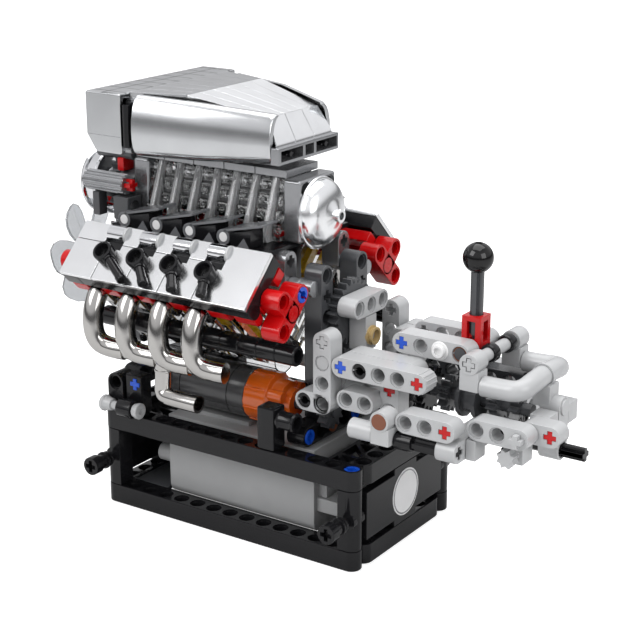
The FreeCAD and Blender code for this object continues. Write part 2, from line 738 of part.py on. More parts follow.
def intake_flaps(side):
    """Return the shingled dark flaps beside the blower, each hung on a white pin's clip."""
    flaps = []
    clip_round = 3.0
    pivot_z = BLOWER_LOW + clip_round
    for x in CYLINDERS:
        pivot = Vector(x, -28.0, pivot_z)
        clip = rod(pivot, pivot.add(Y * 4.0), clip_round)
        plate = block(Vector(0, 0, 0.6), Vector(18.5, 11.0, 2.6))
        plate.Placement = Placement(pivot, Rotation(Y, -13.0))
        flaps.append(joined([clip, plate]))
    return [mirrored(flap) for flap in flaps] if side == FAR else flaps


def blower_case():
    """Return the clear ribbed case of the supercharger, hollow along its shaft."""
    half = size("blower_wide") / 2.0
    core_half = half - 2.0
    outline = [Vector(BLOWER_FIRST, y, BLOWER_MIDDLE + z) for y, z in
               ((-core_half, -8.0), (-core_half + 4.0, -11.9), (core_half - 4.0, -11.9), (core_half, -8.0),
                (core_half, 8.0), (core_half - 4.0, 11.9), (-core_half + 4.0, 11.9), (-core_half, 8.0))]
    core = polygon(outline).extrude(X * (BLOWER_LAST - BLOWER_FIRST))
    count = int(size("blower_ribs"))
    step = size("blower_long") / count
    ribs = []
    for row in range(count):
        x = BLOWER_FIRST + (row + 0.5) * step
        rib = [Vector(x - 1.2, y, BLOWER_MIDDLE + z) for y, z in
               ((-half + 1.5, -11.9), (half - 1.5, -11.9), (half, -5.0), (half - 2.0, 11.9),
                (-half + 2.0, 11.9), (-half, -5.0))]
        ribs.append(polygon(rib).extrude(X * 2.4))
    bore_start = Vector(BLOWER_FIRST - 1, 0, size("blower_high"))
    bore = bored(bore_start, bore_start.add(X * (size("blower_long") + 2)), 7.5)
    return joined([core] + ribs).cut(bore)


def blower_frames():
    """Return the grey frames at the blower's ends and the plate on top of it."""
    parts = []
    half = 1.5 * PITCH
    for x in (BLOWER_FIRST - PITCH, BLOWER_LAST + GAP):
        frame = block(Vector(x, -half, BLOWER_LOW), Vector(x + BEAM, half, BLOWER_TOP))
        holes = [drill(Vector(x - 1, y, z), Vector(x + PITCH + 1, y, z), BORE)
                 for y in (-PITCH, PITCH) for z in (BLOWER_LOW + HALF, BLOWER_TOP - HALF)]
        shaft = Vector(x - 1, 0, size("blower_high"))
        holes.append(bored(shaft, shaft.add(X * (PITCH + 2)), BORE))
        parts.append(frame.cut(holes))
    low = BLOWER_TOP + GAP
    top = low + 3.0
    plate = block(Vector(BLOWER_FIRST - PITCH, -half + 1.5, low), Vector(BLOWER_LAST + 1.0, half - 1.5, top))
    riser_top = Vector(BLOWER_LAST - 6.0, PITCH, size("scoop_low") - GAP)
    riser = block(Vector(BLOWER_FIRST, -PITCH, top), riser_top)
    parts.append(joined([plate, riser]))
    return group(parts)


def front_gears():
    """Return the phases of the three gears in the front train."""
    crank_place = CRANK.add(X * FRONT_GEAR_X)
    fan_place = Vector(FRONT_GEAR_X, 0, size("fan_high"))
    blower_place = Vector(FRONT_GEAR_X, 0, size("blower_high"))
    fan_phase = mesh_phase(crank_place, fan_place, 16, 0.0, 40)
    blower_phase = mesh_phase(fan_place, blower_place, 40, fan_phase, 24)
    return fan_place, fan_phase, blower_place, blower_phase


def blower_shaft():
    """Return the supercharger's shaft with its rotor, gear and front pulley hub."""
    fan_place, fan_phase, blower_place, blower_phase = front_gears()
    high = size("blower_high")
    axle = turned(Vector(PULLEY_X, 0, high), Vector(BLOWER_LAST + PITCH - 1.0, 0, high), PIN)
    lobes = []
    for turn in (0.0, 120.0, 240.0):
        lobe = block(Vector(BLOWER_FIRST + 1.0, -1.5, 0), Vector(BLOWER_LAST - 1.0, 1.5, 6.6))
        lobe.Placement = Placement(Vector(0, 0, high), Rotation(X, turn))
        lobes.append(lobe)
    wheel = gear(blower_place, 24, blower_phase, PIN - 0.4)
    return joined([axle, wheel] + lobes)


def fan():
    """Return the clear fan: a hub on its axle, a gear and rounded, pitched blades."""
    fan_place, fan_phase, blower_place, blower_phase = front_gears()
    high = size("fan_high")
    middle = Vector(PULLEY_X - 9.2, 0, high)
    axle = turned(middle.sub(X * 3.3), Vector(BLOCK_FIRST - GAP, 0, high), PIN)
    hub = turned(middle.sub(X * 2.8), middle.add(X * 2.7), 5.0)
    reach = size("fan_wide") / 2.0
    blades = []
    count = int(size("fan_blades"))
    for k in range(count):
        side = [(3.0, 3.0), (7.5, reach * 0.6), (6.5, reach * 0.88), (2.6, reach)]
        outline = [Vector(x, y, 0) for x, y in side] + [Vector(-x, y, 0) for x, y in reversed(side)]
        blade = polygon(outline).extrude(Z * size("blade_thick"))
        blade.translate(Z * (-size("blade_thick") / 2.0))
        pitched = Placement(Vector(0, 0, 0), Rotation(Y, 90.0 + 18.0)).multiply(blade.Placement)
        blade.Placement = Placement(middle, Rotation(X, 360.0 * k / count)).multiply(pitched)
        blades.append(blade)
    wheel = gear(fan_place, 40, fan_phase, PIN - 0.4)
    return joined([axle, hub, wheel] + blades)


def front_frame():
    """Return the dark beams in front of the block that carry the front train."""
    x = BLOCK_FIRST - PITCH / 2.0
    parts = []
    for side in (NEAR, FAR):
        foot = Vector(x, side * PITCH, CRANK.z)
        parts.append(beam(foot, foot.add(Z * (8 * PITCH)), X, (1, 2, 3, 5, 6, 7)))
    for z in (CRANK.z, size("fan_high"), size("blower_high")):
        low = Vector(x - HALF, -HALF, z - HALF)
        web = block(low, Vector(x + HALF, HALF, z + HALF))
        parts.append(web.cut(bored(Vector(x - 9, 0, z), Vector(x + 9, 0, z), BORE)))
    return group(parts)


def rear_frame():
    """Return the dark grey beams behind the block with their cross connectors."""
    x = COVER_LAST + PITCH / 2.0
    parts = []
    for side in (NEAR, FAR):
        foot = Vector(x, side * REAR_Y, CRANK.z)
        parts.append(beam(foot, foot.add(Z * (5 * PITCH)), X))
    reach = REAR_Y - HALF - GAP
    for z in (CRANK.z, CRANK.z + CRANK_TEETH):
        web = block(Vector(x - HALF, -reach, z - HALF), Vector(x + HALF, reach, z + HALF))
        parts.append(web.cut(bored(Vector(x - 9, 0, z), Vector(x + 9, 0, z), BORE)))
    post_x = BLOWER_LAST + PITCH / 2.0
    for side in (NEAR, FAR):
        high = Vector(post_x, side * REAR_Y * 1.5, FLANGE_LOW - GAP - HALF)
        parts.append(beam(high.sub(Z * PITCH), high, X))
    return group(parts)


def upper_gear():
    """Return the idler gear above the crank gear with its stub axle."""
    crank_place = CRANK.add(X * REAR_GEAR_X)
    place = Vector(REAR_GEAR_X, 0, CRANK.z + 24.0)
    wheel = gear(place, 24, mesh_phase(crank_place, place, 24, 0.0, 24), PIN - 0.4)
    axle = turned(place.sub(X * 9.5), place.add(X * 1.9), PIN)
    return joined([axle, wheel])


# The polished dome, pulley and scoop.

def blower_dome():
    """Return the polished dome, turned with a small hub at its tip."""
    rim = size("dome_wide") / 2.0
    deep = size("dome_deep") + size("dome_wall")
    hub = 2.6
    hub_tip = deep + 1.6
    steps = 3
    points = [(0.0, 0.0), (0.0, rim)]
    for k in range(1, steps + 1):
        share = k / steps
        points.append((deep * math.sin(share * math.pi / 2.0), rim * (1.0 - share) + hub * share))
    points += [(hub_tip, hub), (hub_tip, 0.0)]
    body = revolved_body("blower_dome", points)
    body.Placement = Placement(Vector(BLOWER_LAST + PITCH + GAP, 0, size("blower_high")), Rotation())
    body.setExpression("Placement.Base.z", "Sizes.blower_high")
    return body


def front_pulley():
    """Return the polished pulley, turned with a deep dish and a bored hub."""
    rim = size("pulley_wide") / 2.0
    hub = 4.6
    dish = 5.0
    points = [(0.0, PIN + 0.03), (PITCH, PIN + 0.03), (PITCH, hub), (dish, hub), (dish, rim - 2.4),
              (PITCH, rim - 2.4), (PITCH, rim), (0.0, rim)]
    body = revolved_body("blower_pulley", points)
    body.Placement = Placement(Vector(PULLEY_X, 0, size("blower_high")), Rotation())
    body.setExpression("Placement.Base.z", "Sizes.blower_high")
    return body


def ribbed(teeth, outer, inner, long):
    """Return a ribbed roller along X from the origin."""
    corners = []
    for k in range(2 * teeth):
        radius = outer if k % 2 else inner
        angle = math.pi * k / teeth
        corners.append(Vector(0, radius * math.cos(angle), radius * math.sin(angle)))
    return polygon(corners).extrude(X * long)


ROLLER_Y = -17.5
ROLLER_Z = size("blower_high") + 4.0


def idler_roller():
    """Return the ribbed roller on its red axle beside the front pulley."""
    start = Vector(PULLEY_X + PITCH + GAP, ROLLER_Y, ROLLER_Z)
    carrier_x = BLOWER_FIRST - PITCH - HALF - GAP
    barrel = ribbed(10, 4.1, 3.5, carrier_x - start.x)
    barrel.translate(start)
    axle = turned(start, start.add(X * 24.0), PIN - 0.9)
    return joined([barrel, axle])


def roller_carrier():
    """Return the dark bracket that carries the idler roller beside the blower's frame."""
    x = BLOWER_FIRST - PITCH
    edge = 1.5 * PITCH + GAP
    carrier = block(Vector(x - HALF, -edge - 8.4, BLOWER_LOW), Vector(x + HALF, -edge, BLOWER_TOP - 4.0))
    place = Vector(x, ROLLER_Y, ROLLER_Z)
    return carrier.cut(bored(place.sub(X * PITCH), place.add(X * PITCH), PIN - 0.84))


def scoop_rear():
    """Return the scoop's rear block, open towards the front, with a sloping lower edge."""
    low = size("scoop_low")
    tall = size("scoop_tall")
    rear = size("scoop_rear")
    half = size("scoop_half")
    wall = size("scoop_wall")
    long = 17.0
    outline = [(rear + 4.4, low), (rear + long, low), (rear + long, low + tall), (rear, low + tall),
               (rear, low + 6.6)]
    solid = polygon([Vector(x, -half, z) for x, z in outline]).extrude(Y * (2 * half))
    hollow = block(Vector(rear + 4.4 + wall, -half + wall, low + wall),
                   Vector(rear + long + 1, half - wall, low + tall - wall))
    return solid.cut(hollow)


def scoop_side():
    """Return the near curved side panel, which leans in towards the inlet."""
    low = size("scoop_low")
    rear_x = -40.0
    front_x = size("scoop_front") - 2.0
    half = size("scoop_half")
    front_half = size("scoop_front_half")
    wall = size("scoop_wall")

    def section(x, y, tall):
        """Return the panel's bowed section at one place along X."""
        outer = [Vector(x, y + 3.0, low), Vector(x, y, low + 5.0), Vector(x, y, low + tall * 0.62),
                 Vector(x, y + 4.0, low + tall)]
        inner = [point.add(Y * wall) for point in reversed(outer)]
        return Part.makePolygon(outer + inner + [outer[0]])

    rear = section(rear_x, -half, size("scoop_tall") - 0.4)
    front = section(front_x, -front_half, 18.0)
    return Part.makeLoft([rear, front], True, True)


def scoop_hood():
    """Return the scoop's top: a flat deck that falls away to the inlet in two slopes."""
    low = size("scoop_low")
    wall = size("scoop_wall")
    deck = low + size("scoop_tall")
    rear = size("scoop_rear") + 17.0 + GAP
    front = size("scoop_front")

    def plate(corners):
        """Return a plate under a symmetric quadrilateral given as (x, half width, height)."""
        (x1, y1, z1), (x2, y2, z2) = corners
        top = [Vector(x1, -y1, z1), Vector(x2, -y2, z2), Vector(x2, y2, z2), Vector(x1, y1, z1)]
        bottom = [point.sub(Z * wall) for point in top]
        ends = [Part.makePolygon([top[0], top[3], bottom[3], bottom[0], top[0]]),
                Part.makePolygon([top[1], top[2], bottom[2], bottom[1], top[1]])]
        return Part.makeLoft(ends, True, True)

    shelf = plate([(rear, 29.0, deck), (-23.0, 22.5, deck)])
    slope = plate([(-23.0, 22.5, deck), (8.5, 15.2, low + 16.6)])
    brow = plate([(8.5, 15.2, low + 16.6), (front - 0.5, size("scoop_front_half") - 3.0, low + 8.9)])
    return joined([shelf, slope, brow])


def scoop_inlet():
    """Return the inlet grille with its three openings and the floor behind it."""
    low = size("scoop_low")
    front = size("scoop_front")
    half = size("scoop_front_half") - 0.2
    back = front - 2.0 + GAP
    frame = block(Vector(back, -half, low), Vector(front + 2.0, half, low + 6.4))
    openings = []
    for left, right in ((-half + 1.6, -4.6), (-2.8, 2.8), (4.6, half - 1.6)):
        openings.append(block(Vector(front - 3.0, left, low + 1.4), Vector(front + 3.0, right, low + 5.2)))
    floor = block(Vector(-40.0, -14.4, low), Vector(back, 14.4, low + 1.6))
    return joined([frame.cut(openings), floor])


# Brackets between the stand and the block.

def black_mounts():
    """Return the black posts and cross beams that carry the block on the stand."""
    parts = []
    low = BASE_TOP + GAP
    front_x = -52.0
    rear_x = COVER_LAST + PITCH / 2.0
    for side in (NEAR, FAR):
        for x in (front_x, COVER_LAST - PITCH / 2.0):
            middle = side * BASE_Y * PITCH
            parts.append(block(Vector(x - HALF, middle - HALF, low), Vector(x + HALF, middle + HALF, 57.0)))
        y = side * REAR_Y
        stand = block(Vector(rear_x - HALF, y - HALF, low + PITCH),
                      Vector(rear_x + HALF, y + HALF, CRANK.z - HALF - GAP))
        axle = Vector(rear_x, MOTOR_Y, MOTOR_Z)
        parts.append(stand.cut(bored(axle.sub(X * PITCH), axle.add(X * PITCH), BORE)))
        start = Vector(rear_x, side * BASE_Y * PITCH, 52.0)
        parts.append(tube(start.sub(X * HALF), start.add(X * HALF), RIM, BORE))
    level = CRANK.z - size("case_round") - HALF - 3.0 * GAP
    reach = 3.0 * PITCH
    parts.append(beam(Vector(front_x, -reach, level), Vector(front_x, reach, level), X))
    level = low + HALF
    parts.append(beam(Vector(rear_x, -reach, level), Vector(rear_x, reach, level), X))
    return group(parts)


# The open gearbox behind the engine. Its two sides mirror each other.

SIDE_X = COVER_LAST + 2.0 * PITCH
LEVER = Vector(SIDE_X + size("lever_behind"), 0, size("lever_high"))
SHAFT_Z = CRANK.z
OUTPUT_Z = size("output_high")
CROSS_Z = SHAFT_Z - PITCH
RAIL_FIRST = SIDE_X + PITCH
RAIL_LAST = LEVER.x - PITCH
ROLLER_X = LEVER.x + PITCH
OUTPUT_GEAR_X = ROLLER_X + 10.0
END_X = ROLLER_X + 3.0 * PITCH
HOOP_X = END_X - 5.0
ROW = PITCH


def gearbox_side():
    """Return the light grey beams that both sides of the gearbox have, on the near side."""
    y = -3 * ROW
    parts = []
    upright = beam(Vector(SIDE_X, y, 60.0), Vector(SIDE_X, y, 84.0), Y)
    foot = beam(Vector(SIDE_X - PITCH, y, 60.0), Vector(SIDE_X, y, 60.0), Y)
    corner = drill(Vector(SIDE_X, y - 9, 60.0), Vector(SIDE_X, y + 9, 60.0), BORE)
    parts.append(joined([upright, foot]).cut(corner))
    parts.append(beam(Vector(RAIL_FIRST, y, 76.0), Vector(RAIL_LAST, y, 76.0), Y))
    inner = Vector(RAIL_FIRST, y + ROW, 76.0)
    parts.append(beam(inner, Vector(RAIL_LAST - PITCH, inner.y, inner.z), Y, range(1, 4)))
    upper = Vector(LEVER.x, -ROW, LEVER.z)
    parts.append(beam(upper.sub(X * (3.0 * PITCH)), upper, Y, (), (3,)))
    parts.append(beam(Vector(RAIL_LAST, -4 * ROW, SHAFT_Z), Vector(ROLLER_X, -4 * ROW, SHAFT_Z), Y))
    return parts


PINION = Vector(END_X - 5.5, -3 * ROW, OUTPUT_Z + 3.0)


def near_rail():
    """Return the near side's rear beams and the hanger that carries the pinion."""
    start = Vector(ROLLER_X + PITCH, -3 * ROW, SHAFT_Z)
    rail = beam(start, Vector(END_X, start.y, SHAFT_Z), Y, (0,))
    rail = rail.cut(Part.makeCylinder(BORE, 2 * PITCH, start.sub(Y * PITCH), Y))
    under = SHAFT_Z - HALF - GAP
    hanger = block(Vector(PINION.x - HALF, PINION.y + HALF + 0.2, PINION.z - HALF),
                   Vector(PINION.x + HALF, PINION.y + HALF + PITCH, under))
    hanger = hanger.cut(bored(PINION, PINION.add(Y * (3 * PITCH)), BORE))
    lug = block(Vector(ROLLER_X + HALF + GAP, start.y - HALF, CROSS_Z - HALF),
                Vector(ROLLER_X + PITCH, start.y + HALF, under))
    tail = beam(Vector(END_X, -2 * ROW, SHAFT_Z), Vector(END_X + PITCH, -2 * ROW, SHAFT_Z), Y)
    return [rail, tail, hanger, lug]


def gearbox_connectors():
    """Return the near side's round connectors, each a bored ring with a stem."""
    parts = []
    lower = Vector(RAIL_LAST - PITCH, -4.5 * ROW, SHAFT_Z)
    for middle, stem in ((lower, -9.0), (Vector(ROLLER_X, -2 * ROW, LEVER.z), -10.0)):
        x, y, z = middle
        ring = rod(middle.sub(Y * HALF), middle.add(Y * HALF), RIM)
        web = block(Vector(x - RIM, y - HALF, z + stem), Vector(x + RIM, y + HALF, z))
        hole = drill(middle.sub(Y * 9), middle.add(Y * 9), BORE)
        cross = drill(Vector(x - 9, y, z - PITCH), Vector(x + 9, y, z - PITCH), BORE)
        parts.append(joined([ring, web]).cut([hole, cross]))
    return parts


def lower_cross_beam():
    """Return the beam under the shafts: its two arms and the low bridge, which clears the selector."""
    room = size("selector_wide") / 2.0 + 4.0 * GAP
    whole = beam(Vector(ROLLER_X, -4 * ROW, CROSS_Z), Vector(ROLLER_X, 4 * ROW, CROSS_Z), X, range(3, 8))
    low = Vector(ROLLER_X - HALF, -room, CROSS_Z - HALF)
    arms = whole.cut(block(low.sub(Vector(PITCH, 0, PITCH)), Vector(ROLLER_X + PITCH, room, SHAFT_Z)))
    saddle = Vector(ROLLER_X, 0, OUTPUT_Z)
    bridge = block(low, Vector(ROLLER_X + HALF, room, SHAFT_Z - room))
    return arms.Solids + [bridge.cut(bored(saddle.sub(X * PITCH), saddle.add(X * PITCH), BORE))]


def gearbox_cross():
    """Return the beams and blocks that tie the gearbox's two sides together."""
    parts = []
    parts.append(beam(Vector(SIDE_X, -ROW, 92.0), Vector(SIDE_X, ROW, 92.0), X))
    stem = block(Vector(SIDE_X - HALF, -HALF, 74.0), Vector(SIDE_X + HALF, HALF, 88.0))
    bush_place = Vector(SIDE_X - 9, 0, 80.0)
    parts.append(stem.cut(drill(bush_place, bush_place.add(X * 18), BORE)))
    parts.append(tube(Vector(SIDE_X + HALF + GAP, 0, 80.0), Vector(SIDE_X + HALF + 4.0, 0, 80.0), RIM, BORE))
    bearer = Vector(RAIL_FIRST, 2 * ROW, SHAFT_Z)
    parts.append(beam(Vector(RAIL_FIRST, -2 * ROW, SHAFT_Z), bearer, X, (1, 3), (2,)))
    parts += lower_cross_beam()
    parts.append(beam(Vector(END_X, 0, OUTPUT_Z), Vector(END_X, 0, OUTPUT_Z + 2 * PITCH), X, (), (0,)))
    for side in (NEAR, FAR):
        low = Vector(END_X - HALF, side * ROW - HALF, SHAFT_Z - HALF)
        spacer = block(low, low.add(Vector(BEAM, BEAM, BEAM)))
        axis = Vector(END_X, side * ROW, SHAFT_Z)
        parts.append(spacer.cut(drill(axis.sub(Y * PITCH), axis.add(Y * PITCH), BORE)))
    top = OUTPUT_Z + 2 * PITCH + HALF + GAP
    parts.append(block(Vector(HOOP_X - HALF, -HALF, top), Vector(END_X + HALF, HALF, top + 12.0)))
    near = gearbox_connectors()
    parts += near + [mirrored(part) for part in near]
    return group(parts)


def main_shaft():
    """Return the gearbox's main shaft with its two dog wheels and drive gear."""
    axle = turned(Vector(REAR_GEAR_X + 4.0 + GAP, 0, SHAFT_Z), Vector(OUTPUT_GEAR_X + 6.0, 0, SHAFT_Z), PIN)
    wheels = [gear(Vector(x, 0, SHAFT_Z), 12, 0.0, PIN - 0.4) for x in (LEVER.x - 10.0, LEVER.x + 10.0)]
    drive = gear(Vector(OUTPUT_GEAR_X, 0, SHAFT_Z), 8, 0.0, PIN - 0.4)
    return joined([axle, drive] + wheels)


def output_shaft():
    """Return the output axle with its gear, its free end standing out of the gearbox."""
    first = Vector(OUTPUT_GEAR_X, 0, SHAFT_Z)
    place = Vector(OUTPUT_GEAR_X, 0, OUTPUT_Z)
    wheel = gear(place, 16, mesh_phase(first, place, 8, 0.0, 16), PIN - 0.4)
    inner = turned(Vector(ROLLER_X - HALF, 0, OUTPUT_Z), Vector(END_X + HALF + 0.5, 0, OUTPUT_Z), PIN)
    outer = cross_axle(Vector(END_X + HALF, 0, OUTPUT_Z), Vector(END_X + size("output_reach"), 0, OUTPUT_Z))
    return joined([inner, wheel, outer])


def selector_ring():
    """Return the dark ring that slides on the main shaft, with the groove the lever runs in."""
    start = Vector(LEVER.x - 4.0, 0, SHAFT_Z)
    end = start.add(X * 8.0)
    radius = size("selector_wide") / 2.0
    ring = turned(start, end, radius).cut(bored(start.sub(X), end.add(X), BORE))
    groove_start = start.add(X * 1.6)
    groove_end = end.sub(X * 1.6)
    groove = turned(groove_start, groove_end, radius + 1.5)
    groove = groove.cut(turned(groove_start.sub(X), groove_end.add(X), radius - 2.1))
    return ring.cut(groove)


def shift_lever():
    """Return the lever's dark axle with its ball, its lower finger and its pivot pin."""
    top = LEVER.add(Z * size("lever_long"))
    stem = cross_axle(LEVER.add(Z * (PIN + 2.0)), top)
    ball = Part.makeSphere(size("ball_wide") / 2.0, top)
    finger = rod(LEVER.sub(Z * 13.0), LEVER.add(Z * (PIN + 3.0)), 1.4)
    pivot = turned(LEVER.sub(Y * (ROW + HALF)), LEVER.add(Y * (ROW + HALF)), PIN)
    return joined([stem, ball, finger, pivot])


def shift_block():
    """Return the red block that clasps the lever, with its side windows."""
    low = LEVER.add(Vector(-HALF, -HALF, -HALF))
    shell = block(low, low.add(Vector(BEAM, BEAM, 16.0)))
    windows = [block(low.add(Vector(-1, 2.2, 6.5)), low.add(Vector(BEAM + 1, BEAM - 2.2, 14.0))),
               block(low.add(Vector(2.2, -1, 7.5)), low.add(Vector(BEAM - 2.2, BEAM + 1, 14.0)))]
    return shell.cut(windows).cut(shift_lever())


def guide_rollers():
    """Return the black rings on their axle between the two upper connectors."""
    middle = Vector(ROLLER_X, 0, LEVER.z)
    axle = turned(middle.sub(Y * (2.4 * ROW)), middle.add(Y * (2.4 * ROW)), PIN)
    rings = []
    for y in (-5.5, 7.5):
        start = middle.add(Y * y)
        rings.append(turned(start, start.add(Y * 4.0), size("guide_wide") / 2.0))
    return joined([axle] + rings)


def bent_tubes():
    """Return the two bent tubes that run round the gearbox's end to the middle block."""
    radius = size("hose_wide") / 2.0
    low = LEVER.z - PITCH
    high = low + 3.0
    start_x = ROLLER_X + RIM + GAP
    route = [Vector(start_x, -2 * ROW, low), Vector(HOOP_X - 6.0, -2 * ROW, low),
             Vector(HOOP_X, -2 * ROW + 4.0, high), Vector(HOOP_X, -HALF - GAP, high)]
    near = bent_tube(route, radius, 9.0, 3)
    return group([near, mirrored(near)])


def pinion():
    """Return the light grey pinion on its short axle under the near side."""
    wheel = ribbed(8, 3.7, 2.6, size("gear_thick"))
    wheel.translate(X * (-size("gear_thick") / 2.0))
    axle = turned(X * -1.9, X * (HALF + PITCH), PIN)
    part = joined([wheel, axle])
    part.Placement = Placement(PINION, Rotation(Z, 90.0)).multiply(part.Placement)
    return part


def gearbox_pins():
    """Return the coloured axles and pins that hold the gearbox's beams."""
    parts = []
    level = 76.0
    for x, y, z in ((RAIL_FIRST, -3 * ROW, level), (RAIL_FIRST + PITCH, -3 * ROW, level),
                    (RAIL_LAST, -3 * ROW, level), (SIDE_X, -3 * ROW, level), (SIDE_X - PITCH, -3 * ROW, 60.0),
                    (RAIL_LAST, -ROW, LEVER.z), (ROLLER_X, -4 * ROW, SHAFT_Z), (END_X, -3 * ROW, SHAFT_Z),
                    (END_X + PITCH, -2 * ROW, SHAFT_Z), (RAIL_LAST - PITCH, -4.5 * ROW, SHAFT_Z)):
        middle = Vector(x, y, z)
        pin = rod(middle.sub(Y * (HALF + 0.6)), middle.add(Y * (HALF - 0.2)), PIN)
        parts += [pin] if x >= END_X else [pin, mirrored(pin)]
    end = Vector(END_X, 0, OUTPUT_Z + 2 * PITCH)
    parts.append(rod(end.sub(X * HALF), end.add(X * (HALF + 0.6)), PIN))
    return group(parts)


NODES = []


def note(part):
    """Remember a sub-part so that it is checked and exported."""
    NODES.append(part)
    return part


note(add_solid("stand_lower_frame", base_frame(LOW_ROW, False)))
note(add_solid("stand_upper_frame", base_frame(HIGH_ROW, True)))
note(add_solid("stand_posts", corner_posts()))
note(add_solid("stand_end_panels", end_panels()))
note(add_solid("battery_box", battery_box()))
note(add_solid("stand_grille", top_grille()))
note(add_solid("corner_knobs", corner_knobs()))
note(add_solid("stand_pins", stand_pins()))
note(add_solid("motor_case", motor_case()))
note(add_solid("motor_nose", motor_nose()))
note(add_solid("motor_shaft", motor_shaft()))
note(add_solid("crankcase", crankcase()))
near_bank = note(add_solid("cylinder_bank_near", cylinder_bank()))
note(add_mirror("cylinder_bank_far", near_bank))
note(add_solid("crankshaft", crankshaft()))
note(add_solid("crank_gears", crank_gears()))
outer = note(add_solid("pistons_near_outer", group([piston(CYLINDERS[0]), piston(CYLINDERS[3])])))
inner = note(add_solid("pistons_near_inner", group([piston(CYLINDERS[1]), piston(CYLINDERS[2])])))
note(add_mirror("pistons_far_outer", outer))
note(add_mirror("pistons_far_inner", inner))
rail = note(add_solid("side_rail_near", side_rail()))
note(add_mirror("side_rail_far", rail))
note(add_solid("head_brackets_near", head_brackets(1)))
note(add_solid("head_brackets_far", mirrored(head_brackets(-1))))
frame = note(add_solid("cover_frame_near", cover_frame()))
note(add_mirror("cover_frame_far", frame))
tiles = note(add_solid("cover_tiles_near", cover_tiles()))
note(add_mirror("cover_tiles_far", tiles))
note(add_solid("ignition_taps", group(ignition_taps(NEAR) + ignition_taps(FAR))))
pipes = note(add_solid("exhaust_near", exhaust()))
note(add_mirror("exhaust_far", pipes))
note(add_solid("intake_manifold", intake_manifold()))
note(add_solid("intake_flaps", group(intake_flaps(NEAR) + intake_flaps(FAR))))
note(add_solid("blower_case", blower_case()))
note(add_solid("blower_frames", group([blower_frames(), roller_carrier()])))
note(add_solid("blower_shaft", blower_shaft()))
note(blower_dome())
note(front_pulley())
note(add_solid("idler_roller", idler_roller()))
note(add_solid("scoop_rear", scoop_rear()))
side_panel = scoop_side()
note(add_solid("scoop_sides", group([side_panel, mirrored(side_panel)])))
note(add_solid("scoop_hood", scoop_hood()))
note(add_solid("scoop_inlet", scoop_inlet()))
note(add_solid("fan", fan()))
note(add_solid("front_frame", front_frame()))
note(add_solid("rear_frame", rear_frame()))
note(add_solid("upper_gear", upper_gear()))
note(add_solid("black_mounts", black_mounts()))
note(add_solid("gearbox_near_side", group(gearbox_side() + near_rail())))
note(add_solid("gearbox_far_side", group([mirrored(bar) for bar in gearbox_side()])))
note(add_solid("gearbox_cross_beams", gearbox_cross()))
note(add_solid("main_shaft", main_shaft()))
note(add_solid("output_shaft", output_shaft()))
note(add_solid("selector_ring", selector_ring()))
note(add_solid("shift_lever", shift_lever()))
note(add_solid("shift_block", shift_block()))
note(add_solid("guide_rollers", guide_rollers()))
note(add_solid("bent_tubes", bent_tubes()))
note(add_solid("pinion", pinion()))
note(add_solid("gearbox_pins", gearbox_pins()))

DOC.recompute()
for item in DOC.Objects:
    if {"Invalid", "Error"} & set(item.State):
        raise RuntimeError("failed object " + item.Label)
for part in NODES:
    if part.Shape.isNull() or not part.Shape.isValid() or not part.Shape.Solids:
        raise RuntimeError("bad shape in " + part.Label)

os.makedirs("parts", exist_ok=True)
for part in NODES:
    part.Shape.exportStep("parts/" + part.Label + ".step")
print(len(NODES), "sub-parts written")
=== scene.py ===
"""Dresses the display model of a supercharged V8 engine, built from beams, pins and gears on an 8 mm grid."""

import json
import logging
import math
from dataclasses import dataclass
from enum import Enum
from typing import Iterable, Optional, Sequence

import bpy
from mathutils import Matrix, Vector

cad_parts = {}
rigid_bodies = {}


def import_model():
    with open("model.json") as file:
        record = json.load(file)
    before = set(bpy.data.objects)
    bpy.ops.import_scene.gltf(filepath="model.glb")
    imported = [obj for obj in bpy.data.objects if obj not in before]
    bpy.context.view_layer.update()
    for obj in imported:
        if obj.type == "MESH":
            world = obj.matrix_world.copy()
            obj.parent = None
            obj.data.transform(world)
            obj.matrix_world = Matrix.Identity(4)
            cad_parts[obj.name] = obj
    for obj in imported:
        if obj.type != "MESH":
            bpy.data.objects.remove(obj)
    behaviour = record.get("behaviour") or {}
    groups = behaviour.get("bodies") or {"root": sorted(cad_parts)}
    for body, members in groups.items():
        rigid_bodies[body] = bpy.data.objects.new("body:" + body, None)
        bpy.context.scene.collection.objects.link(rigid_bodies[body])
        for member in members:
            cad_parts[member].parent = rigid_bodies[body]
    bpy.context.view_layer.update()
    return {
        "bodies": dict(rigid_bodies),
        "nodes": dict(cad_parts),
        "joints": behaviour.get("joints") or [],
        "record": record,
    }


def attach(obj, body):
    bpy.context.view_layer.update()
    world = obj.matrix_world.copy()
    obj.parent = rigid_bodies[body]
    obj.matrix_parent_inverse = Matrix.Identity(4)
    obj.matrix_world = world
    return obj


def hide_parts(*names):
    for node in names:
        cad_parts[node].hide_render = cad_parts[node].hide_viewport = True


LOG = logging.getLogger("engine_model")
# Lengths are in millimetres, and MM turns them into the metres of the scene.
MM = 0.001
PITCH = 8.0  # from one hole of a beam to the next
HALF = 3.9  # half a beam's width
BORE = 2.45  # a round hole's radius
RECESS = 3.05  # the radius of the wider ring at a hole's mouth
SLOT = 0.98  # half the width of a cross hole's arms
AXLE = 2.35  # how far a cross axle's arms reach from its middle
PIN = 2.95  # the radius of a pin's collar
CRANK_Z = 64.0  # the height of the crank's axis
RIPPLE_DEEP = 0.00005  # the depth of the surface ripple, in metres
Point = tuple[float, float, float]


class Body(Enum):
    """The body of the model that a piece moves with."""

    STAND = "stand"
    CRANK = "crank"
    FAN = "fan_wheel"
    BLOWER = "blower_rotor"
    ROLLER = "roller"
    OUTPUT = "output"
    LEVER = "lever"
    GUIDE = "guide"


